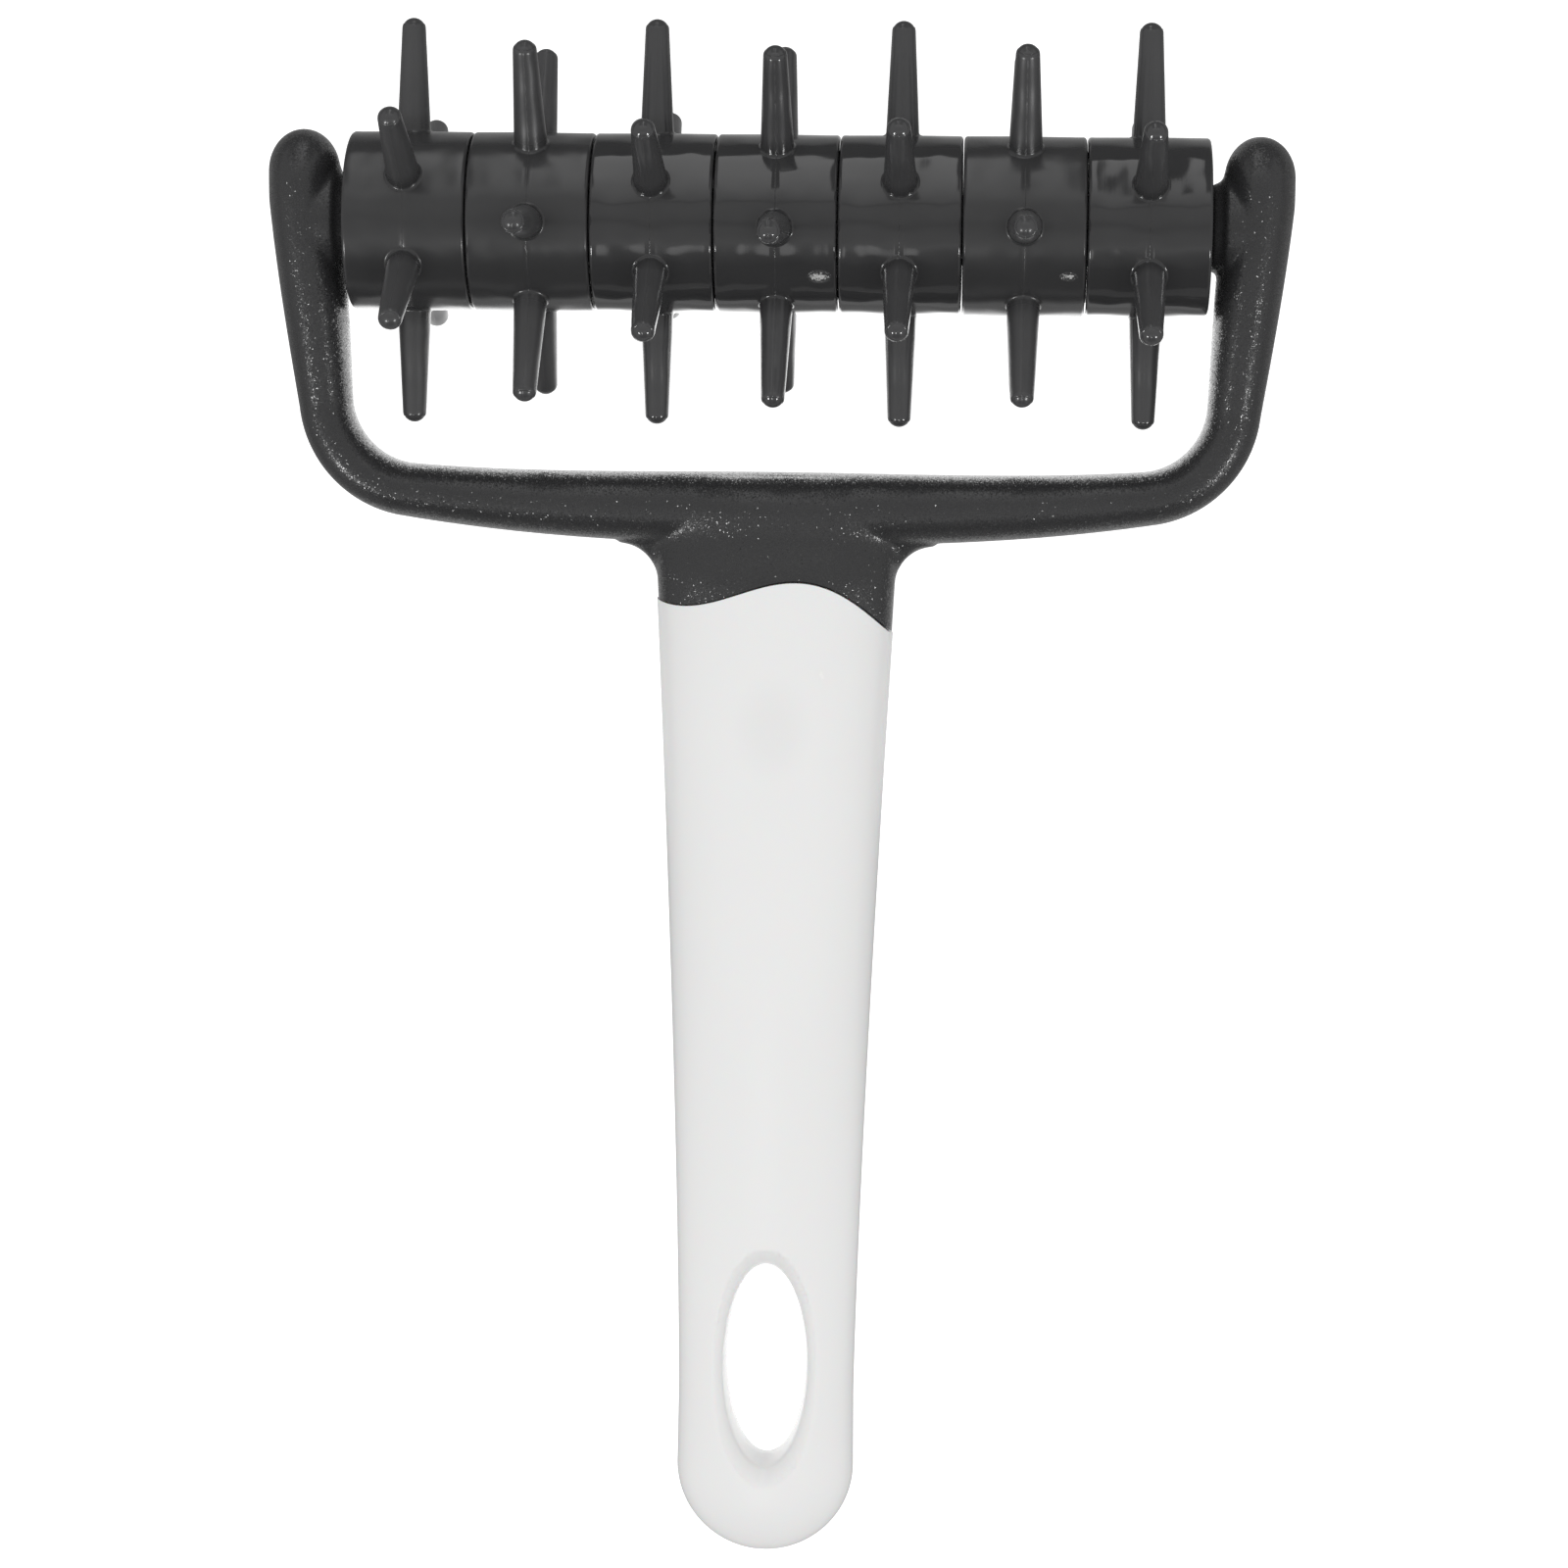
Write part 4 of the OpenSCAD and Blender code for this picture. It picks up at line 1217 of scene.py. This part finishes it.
@dataclass
class Roller:
    """The roller: seven spiked rings of one moulding on their core, with the plugs and the rod."""

    ring_w: float
    ring_pitch: float
    ring_count: int = 7
    play: tuple[float, ...] = (1.8, 1.2, -1.5, -1.0, -0.5, 1.0, -0.9)
    polish: tuple[Polish, ...] = (Polish.SATIN, Polish.SATIN, Polish.MIRROR, Polish.MIRROR, Polish.MIRROR,
                                  Polish.SATIN, Polish.MIRROR)
    key_steps: tuple[int, ...] = (1, 2, 1, 0, 1, 0, 1)
    spike_count: int = 6
    barrel_r: float = 11.65
    barrel_wall: float = 2.0
    edge_r: float = 0.45
    draft: float = 0.06
    mismatch: float = 0.03
    reach: float = 26.285
    tip_r: float = 1.55
    dome_r: float = 1.27
    foot_r: float = 2.15
    fillet_r: float = 0.4
    web_t: float = 2.4
    hub_r: float = 6.7
    hub_bore_r: float = 4.3
    hub_recess: float = 1.0
    gusset_t: float = 1.4
    gusset_recess: float = 3.0
    key_count: int = 3
    key_w: float = 2.0
    key_top: float = 5.35
    gate_x: float = 5.7
    gate_angle: float = math.radians(-33.0)
    gate_r: float = 0.8
    gate_sink: float = 0.12
    steps: int = 144
    colour: tuple[float, float, float] = (0.034, 0.034, 0.035)

    def gate(self) -> Vector:
        """The middle of the gate mark on the barrel."""
        way = Vector((0, math.sin(self.gate_angle), math.cos(self.gate_angle)))
        return Vector((self.gate_x, 0, 0)) + self.barrel_r * way

    def section(self) -> list[tuple[float, float]]:
        """The ring's section: barrel with drafted halves and rounded edges, web and hub."""
        half, r, inner = self.ring_w / 2, self.barrel_r, self.barrel_r - self.barrel_wall
        low = r - self.draft
        corner = [(half - self.edge_r * (1 - math.sin(a)), low - self.edge_r * (1 - math.cos(a)))
                  for a in even(0, math.pi / 2, 6)]
        flat = half - self.edge_r
        top = [(x, mix(r, low, x / flat)) for x in even(0.03, flat, 11)[:-1]]
        left = [(-x, y) for x, y in reversed(corner)] + [(-x, y) for x, y in reversed(top)]
        right = [(x, y - self.mismatch) for x, y in top] + [(x, y - self.mismatch * 0.5) for x, y in corner]
        deep = half - self.hub_recess
        web = self.web_t / 2
        inside = [(half, inner + 0.2), (half - 0.2, inner), (web, inner), (web, self.hub_r),
                  (deep, self.hub_r),
                  (deep, self.hub_bore_r)]
        return left + right + inside + [(-x, y) for x, y in reversed(inside)]

    def spike(self) -> bpy.types.Object:
        """One spike standing on the barrel: skirt, cone, rounded shoulder and shallow dome."""
        centre = self.reach - self.tip_r
        lean = math.asin((self.foot_r - self.tip_r) / (centre - self.barrel_r))
        skirt = self.foot_r + self.fillet_r
        outline = [(self.barrel_r - 0.9, 0.0), (self.barrel_r - 0.9, skirt), (self.barrel_r - 0.006, skirt)]
        outline += [(self.barrel_r - 0.006 + self.fillet_r * (1 - math.cos(a)),
                     skirt - self.fillet_r * math.sin(a))
                    for a in even(0, math.pi / 2 - lean, 8)[1:]]
        cone_top, dome_base = centre + 0.15, centre + math.sqrt(self.tip_r ** 2 - self.dome_r ** 2)
        start = outline[-1]
        shoulder = Vector((cone_top, self.tip_r))
        outline += [(mix(start[0], shoulder.x, s), mix(start[1], shoulder.y, s)) for s in even(0, 1, 10)[1:]]
        rise, drop = dome_base - 0.05 - cone_top, self.tip_r - self.dome_r
        outline += [(cone_top + rise * math.sin(a), self.dome_r + drop * math.cos(a))
                    for a in even(0, math.pi / 2, 6)[1:]]
        first = math.asin(self.dome_r / self.tip_r)
        outline += [(centre + self.tip_r * math.cos(a), self.tip_r * math.sin(a)) for a in even(first, 0, 8)]
        piece = Bench.turned("spike", outline, 48, "Z")
        self.drape(piece)
        return piece

    def drape(self, piece: bpy.types.Object) -> None:
        """Lowers a spike's foot at its sides so that it lies on the round barrel."""
        Bench.edit(piece)
        mesh = bmesh.from_edit_mesh(piece.data)
        for point in mesh.verts:
            at = point.co
            sag = self.barrel_r - math.sqrt(self.barrel_r ** 2 - at.y ** 2)
            at.z -= sag * (1 - ease((at.z - self.barrel_r) / 2.5))
        bmesh.update_edit_mesh(piece.data)
        Bench.done(piece)

    def block(self, name: str, size: tuple[float, float, float], rise: float,
              angle: float) -> bpy.types.Object:
        """A plate that stands off the axis at an angle.

        Args:
            name: the new object's name.
            size: its length along the axis, its thickness and its height.
            rise: distance of its middle from the axis.
            angle: its direction, from Z toward Y.

        Returns:
            The plate.
        """
        Bench.only()
        bpy.ops.mesh.primitive_cube_add(size=1)
        piece = bpy.context.object
        piece.name = name
        Bench.edit(piece)
        Bench.stretch(size, Vector())
        Bench.shift(Vector((0, 0, rise)))
        Bench.turn(-angle, "X", Vector())
        return Bench.done(piece)

    def master(self) -> bpy.types.Object:
        """Models one ring, its first spike square to the fork.

        Returns:
            The ring, about its own middle.
        """
        ring = Bench.turned("ring_master", self.section(), self.steps, closed=True)
        inner = self.barrel_r - self.barrel_wall
        model = self.spike()
        for k in range(self.spike_count):
            angle = k * math.tau / self.spike_count
            spike = Bench.copy(model, "spike_copy")
            Bench.put(spike, Matrix.Rotation(-angle, 4, "X"))
            Bench.carve(ring, spike, Cut.JOIN)
            height = inner + self.barrel_wall / 4 - self.hub_r + 1
            gusset = self.block("gusset", (self.ring_w - 2 * self.gusset_recess, self.gusset_t, height),
                                self.hub_r - 1 + height / 2, angle)
            Bench.carve(ring, gusset, Cut.JOIN)
        bpy.data.objects.remove(model)
        for k in range(self.key_count):
            angle = math.radians(15) + k * math.tau / self.key_count
            key = self.block("keyway", (2 * self.ring_w, self.key_w, self.key_top), self.key_top / 2, angle)
            Bench.carve(ring, key, Cut.REMOVE)
        Bench.carve(ring, self.gate_tool(), Cut.REMOVE)
        Bench.note_places(ring)
        Bench.soften(ring, 32)
        return ring

    def gate_tool(self) -> bpy.types.Object:
        """The shallow crater that the torn gate left, uneven at its edge."""
        Bench.only()
        bpy.ops.mesh.primitive_ico_sphere_add(subdivisions=4, radius=1)
        piece = bpy.context.object
        Bench.edit(piece)
        Bench.stretch((self.gate_r * 1.25, self.gate_r * 0.8, self.gate_sink), Vector())
        bpy.ops.transform.vertex_random(offset=0.05, uniform=0.3, normal=0.6, seed=7)
        Bench.turn(-self.gate_angle, "X", Vector())
        Bench.shift(self.gate())
        return Bench.done(piece)

    def ring_finish(self, polish: Polish) -> RingFinish:
        """The finish of a ring whose cavity was polished so far."""
        rough, depth, torn = {Polish.MIRROR: (0.09, 0.0018, 1.4), Polish.SATIN: (0.24, 0.0035, 0.95)}[polish]
        return RingFinish(f"ring_{polish.value}_plastic", "ring_plastic", self.colour, rough, polish=polish,
                          line_depth=depth, gate_place=tuple(self.gate()), gate_reach=torn)

    def place_of(self, i: int) -> Matrix:
        """Where ring i stands: every other one is turned over, so that its spikes stand half a pitch on."""
        half_pitch, key_step = math.pi / self.spike_count, math.tau / self.key_count
        over = Matrix.Identity(4)
        phase = self.key_steps[i] * key_step + math.radians(self.play[i])
        if i % 2 == 0:
            over = Matrix.Rotation(math.pi, 4, "Z")
            phase += half_pitch
        middle = Matrix.Translation(((i - (self.ring_count - 1) / 2) * self.ring_pitch, 0, 0))
        return middle @ Matrix.Rotation(-phase, 4, "X") @ over

    def build(self) -> list[bpy.types.Object]:
        """Models the rings, places them and dresses the roller.

        Returns:
            The rings, riding on the roller.
        """
        model = self.master()
        finishes = {polish: self.ring_finish(polish) for polish in Polish}
        materials = {polish: finish.material() for polish, finish in finishes.items()}
        rings = []
        for i in range(self.ring_count):
            ring = Bench.copy(model, f"dressed_ring_{i + 1}")
            Bench.put(ring, self.place_of(i))
            finishes[self.polish[i]].wear(ring, materials[self.polish[i]])
            settle(ring, Body.ROLLER, f"spike_ring_{i + 1}")
            rings.append(ring)
        bpy.data.objects.remove(model)
        self.dress_core()
        return rings

    def dress_core(self) -> None:
        """Gives the kept solids of the core their finishes."""
        moulded = SolidFinish("core_moulded_plastic", "core_plastic", (0.045, 0.045, 0.047), 0.32)
        steel = SolidFinish("rod_drawn_steel", "rod_steel", (0.60, 0.60, 0.61), 0.26, metal=1.0, drawn=0.006)
        plastic, metal = moulded.material(), steel.material()
        for name in ("core_tube", "end_plug_left", "end_plug_right"):
            moulded.wear(frame["nodes"][name], plastic)
            LOG.info("%s: kept solid, dressed", name)
        steel.wear(frame["nodes"]["axle_rod"], metal)
        LOG.info("axle_rod: kept solid, dressed")


@dataclass
class Studio:
    """Floor, surroundings, lamps and camera, placed from the photograph's viewing angle."""

    eye: Vector = field(default_factory=lambda: Vector((27.85, 9.37, 526.3)))
    pitch: float = 0.157278
    yaw: float = -0.0498478
    roll: float = -0.0165
    lens: float = 91.62
    sensor: float = 36.0
    lamp_way: Vector = field(default_factory=lambda: Vector((0.646, -0.51, 0.567)))
    lamp_far: float = 0.9
    lamp_r: float = 0.09
    lamp_watts: float = 2.4
    sky: float = 0.95
    horizon: float = 0.62
    zenith: float = 1.19
    floor_tone: float = 0.6
    floor_glow: float = 0.88
    dome_r: float = 1.5
    dome_steps: tuple[tuple[float, float], ...] = (
        (-90, 0.06), (-60, 0.06), (-52, 0.2), (-46, 0.3), (-40, 0.42), (-30, 0.75), (-22, 0.6), (-14, 0.55),
        (-6, 0.35), (2, 0.5), (12, 0.58), (21, 0.6), (22.5, 0.36), (23.5, 0.38), (24.5, 0.62), (27, 0.75),
        (33, 0.97), (41, 1.25), (48, 1.45), (60, 1.65), (90, 1.65))
    box_start: float = 40.0
    box_left: float = -0.198
    box_right: float = 0.082
    box_beside: float = 0.12
    box_edge: tuple[float, float] = (0.01, 3.0)
    side_glow: float = 0.55
    side_reach: tuple[float, float] = (0.35, 0.7)
    strip_angle: float = -39.0
    strip_across: float = -0.074
    strip_size: tuple[float, float] = (9.0, 0.06)
    strip_glow: float = 1.4
    sheet_half: float = 0.068
    sheet_edge: float = 0.006
    sheet_steps: tuple[tuple[float, float], ...] = (
        (-0.3, 0.3), (-0.01, 0.3), (0.005, 0.8), (0.026, 0.8), (0.036, 0.45), (0.047, 0.45), (0.057, 2.6),
        (0.07, 2.6), (0.085, 0.5), (0.13, 0.4), (0.15, 0.1), (0.3, 0.1))
    sheet_beside: float = 0.3
    patch_y: float = -0.076
    patch_size: tuple[float, float] = (0.010, 0.034)
    patch_glow: float = 1.3

    def camera_axes(self) -> Matrix:
        """The camera's axes as a turn in the row frame."""
        turned = Matrix.Rotation(-self.pitch, 3, "X") @ Matrix.Rotation(-self.yaw, 3, "Y")
        return Matrix.Rotation(LIE.tilt, 3, "X") @ turned @ Matrix.Rotation(-self.roll, 3, "Z")

    def place_camera(self) -> None:
        """Creates the camera at the photograph's viewing angle."""
        data = bpy.data.cameras.new("camera")
        data.lens, data.sensor_width = self.lens, self.sensor
        data.clip_start, data.clip_end = 0.05, 20.0
        camera = bpy.data.objects.new("camera", data)
        bpy.context.scene.collection.objects.link(camera)
        camera.matrix_world = Matrix.Translation(LIE.matrix() @ self.eye) @ self.camera_axes().to_4x4()
        bpy.context.scene.camera = camera

    def lamp(self, name: str, way: Vector) -> bpy.types.Object:
        """A small round studio lamp that shines at the object."""
        light = bpy.data.lights.new(name, "AREA")
        light.shape, light.size, light.energy = "DISK", 2 * self.lamp_r, self.lamp_watts
        lamp = bpy.data.objects.new(name, light)
        bpy.context.scene.collection.objects.link(lamp)
        lamp.location = self.camera_axes() @ way.normalized() * self.lamp_far
        lamp.rotation_mode = "QUATERNION"
        lamp.rotation_quaternion = (-Vector(lamp.location)).to_track_quat("-Z", "Y")
        lamp.visible_diffuse = False
        return lamp

    @staticmethod
    def shade_from(piece: bpy.types.Object, lamps: list[bpy.types.Object]) -> None:
        """Keeps lamps off a piece, as if a small flag stood between them and it."""
        kept_off = bpy.data.collections.new("kept_off")
        kept_off.objects.link(piece)
        for lamp in lamps:
            lamp.light_linking.receiver_collection = kept_off
        for entry in kept_off.collection_objects:
            entry.light_linking.link_state = "EXCLUDE"

    def glowing(self, piece: bpy.types.Object, wire: Callable[[Graph], bpy.types.NodeSocket]) -> None:
        """Makes a stage piece that is seen only in reflections, with a glow that the given nodes work out."""
        material = bpy.data.materials.new(piece.name)
        material.use_nodes = True
        graph = Graph(material.node_tree)
        light = graph.add("Emission", {"Color": (1, 1, 1, 1), "Strength": wire(graph)})
        graph.add("OutputMaterial", {"Surface": light.outputs[0]})
        material.cycles.emission_sampling = "NONE"
        piece.data.materials.clear()
        piece.data.materials.append(material)
        piece.visible_camera = piece.visible_diffuse = piece.visible_shadow = False
        piece.visible_transmission = piece.visible_volume_scatter = False

    @staticmethod
    def stepped(graph: Graph, value: bpy.types.NodeSocket,
                steps: tuple[tuple[float, float], ...]) -> bpy.types.NodeSocket:
        """A radiance that runs straight from step to step over a value."""
        low, high, top = steps[0][0], steps[-1][0], max(glow for _, glow in steps)
        node = graph.add("FloatCurve", {"Value": graph.span(value, low, high, 0, 1, "LINEAR")})
        curve = node.mapping.curves[0]
        for i, (at, glow) in enumerate(steps):
            place = ((at - low) / (high - low), glow / top)
            if i in (0, len(steps) - 1):
                curve.points[0 if i == 0 else -1].location = place
            else:
                curve.points.new(*place)
        for point in curve.points:
            point.handle_type = "VECTOR"
        node.mapping.update()
        return graph.maths("MULTIPLY", node.outputs[0], top)

    def dome_glow(self, graph: Graph) -> bpy.types.NodeSocket:
        """Radiance of the light tent: a bright softbox up to the horizon on one side, dark on the other."""
        spot = graph.add("TexCoord").outputs["Object"]
        way = graph.vector("NORMALIZE", graph.vector("SUBTRACT", spot, LIE.axle))
        parts = graph.add("SeparateXYZ", {0: way})
        x, y, z = (parts.outputs[i] for i in range(3))
        angle = graph.maths("DEGREES", graph.maths("ARCTAN2", y, z))
        base = self.stepped(graph, angle, self.dome_steps)
        soft, soft_angle = self.box_edge
        inside = graph.maths("MULTIPLY", graph.span(x, self.box_left - soft, self.box_left + soft),
                             graph.span(x, self.box_right - soft, self.box_right + soft, 1, 0))
        above = graph.span(angle, self.box_start - soft_angle, self.box_start + soft_angle, 1, 0)
        box = graph.maths("MAXIMUM", inside, above)
        middle = graph.maths("ADD", graph.maths("MULTIPLY", base, box),
                             graph.maths("MULTIPLY", graph.maths("SUBTRACT", 1.0, box), self.box_beside))
        high, wide = self.strip_size
        up = graph.maths("DIVIDE", graph.maths("SUBTRACT", angle, self.strip_angle), high)
        across = graph.maths("DIVIDE", graph.maths("SUBTRACT", x, self.strip_across), wide)
        off = graph.maths("ADD", graph.maths("POWER", up, 2.0), graph.maths("POWER", across, 2.0))
        strip = graph.span(off, 0.2, 1.2, self.strip_glow, 0.0)
        aside = graph.span(graph.maths("ABSOLUTE", x), *self.side_reach)
        lit = graph.maths("MULTIPLY", graph.maths("ADD", middle, strip), graph.maths("SUBTRACT", 1.0, aside))
        return graph.maths("ADD", lit, graph.maths("MULTIPLY", aside, self.side_glow))

    def sheet_glow_at(self, graph: Graph) -> bpy.types.NodeSocket:
        """Radiance of the table as the gloss sees it: bright under roller and hang hole, dark around."""
        place = graph.add("TexCoord").outputs["Object"]
        parts = graph.add("SeparateXYZ", {0: place})
        lit = self.stepped(graph, parts.outputs[1], self.sheet_steps)
        beside = graph.maths("MINIMUM", lit, self.sheet_beside)
        wide = graph.span(graph.maths("ABSOLUTE", parts.outputs[0]), self.sheet_half - self.sheet_edge,
                          self.sheet_half + self.sheet_edge, 1, 0)
        around = graph.vector("SUBTRACT", place, (0, self.patch_y, 0))
        reach = tuple(1 / size for size in self.patch_size)
        off = graph.add("VectorMath", {0: graph.vector("MULTIPLY", around, (*reach, 0))}, operation="LENGTH")
        patch = graph.span(off.outputs["Value"], 0.8, 1.0, self.patch_glow, 0.0)
        inner = graph.maths("ADD", graph.maths("MULTIPLY", lit, wide), patch)
        return graph.maths("ADD", inner, graph.maths("MULTIPLY", beside, graph.maths("SUBTRACT", 1.0, wide)))

    def floor(self) -> None:
        """The plain pale floor that the docker lies on, and the sheet that its gloss sees there."""
        Bench.only()
        bpy.ops.mesh.primitive_plane_add(size=6)
        floor = bpy.context.object
        floor.name = "floor"
        material = bpy.data.materials.new("pale_floor")
        material.use_nodes = True
        graph = Graph(material.node_tree)
        seen = graph.add("LightPath").outputs["Is Camera Ray"]
        tone = (self.floor_tone, self.floor_tone, self.floor_tone, 1)
        glow = graph.maths("MULTIPLY", seen, self.floor_glow)
        shader = graph.add("BsdfPrincipled", {"Base Color": tone, "Roughness": 0.9, "Specular IOR Level": 0.0,
                                              "Emission Color": (1, 1, 1, 1), "Emission Strength": glow})
        graph.add("OutputMaterial", {"Surface": shader.outputs[0]})
        floor.data.materials.append(material)
        floor.visible_glossy = False
        Bench.only()
        bpy.ops.mesh.primitive_plane_add(size=4, location=(0, 0, -MM))
        sheet = bpy.context.object
        sheet.name = "sheet_in_gloss"
        self.glowing(sheet, self.sheet_glow_at)

    def surround(self) -> None:
        """White surroundings that light the object, and the dome of light that its gloss sees."""
        world = bpy.data.worlds.new("surround")
        world.use_nodes = True
        graph = Graph(world.node_tree)
        height = graph.add("SeparateXYZ", {0: graph.add("TexCoord").outputs["Generated"]}).outputs[2]
        level = graph.span(height, 0.0, 1.0, self.sky * self.horizon, self.sky * self.zenith, "LINEAR")
        back = graph.add("Background", {"Color": (1, 1, 1, 1), "Strength": level})
        graph.add("OutputWorld", {"Surface": back.outputs[0]})
        world.cycles_visibility.glossy = False
        bpy.context.scene.world = world
        Bench.only()
        bpy.ops.mesh.primitive_uv_sphere_add(segments=96, ring_count=48, radius=self.dome_r)
        dome = bpy.context.object
        dome.name = "dome_in_gloss"
        Bench.edit(dome)
        Bench.shift(LIE.axle)
        Bench.done(dome)
        self.glowing(dome, self.dome_glow)

    def build(self, handle: bpy.types.Object) -> None:
        """Sets up the studio, with the lamps flagged off the handle."""
        self.floor()
        self.surround()
        ways = [Vector((side * self.lamp_way.x, self.lamp_way.y, self.lamp_way.z)) for side in (-1, 1)]
        self.shade_from(handle, [self.lamp("lamp", way) for way in ways])
        self.place_camera()
        bpy.context.scene.view_settings.view_transform = "Standard"


def main() -> None:
    """Builds the docker and its studio, and reports each piece."""
    logging.basicConfig(level=logging.INFO, format="%(name)s: %(message)s")
    first, second = (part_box(f"spike_ring_{n}") for n in (1, 2))
    ring_w = (first[1].x - first[0].x) / MM
    pitch = (second[0].x - first[0].x) / MM
    boss_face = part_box("axle_rod")[1].x / MM - ROD_IN_BOSS
    fork = Fork(boss_face)
    fork.build()
    handle = Handle(fork).build()
    Roller(mix(ring_w, pitch, 0.5), pitch).build()
    Studio().build(handle)


if __name__ == "__main__":
    main()
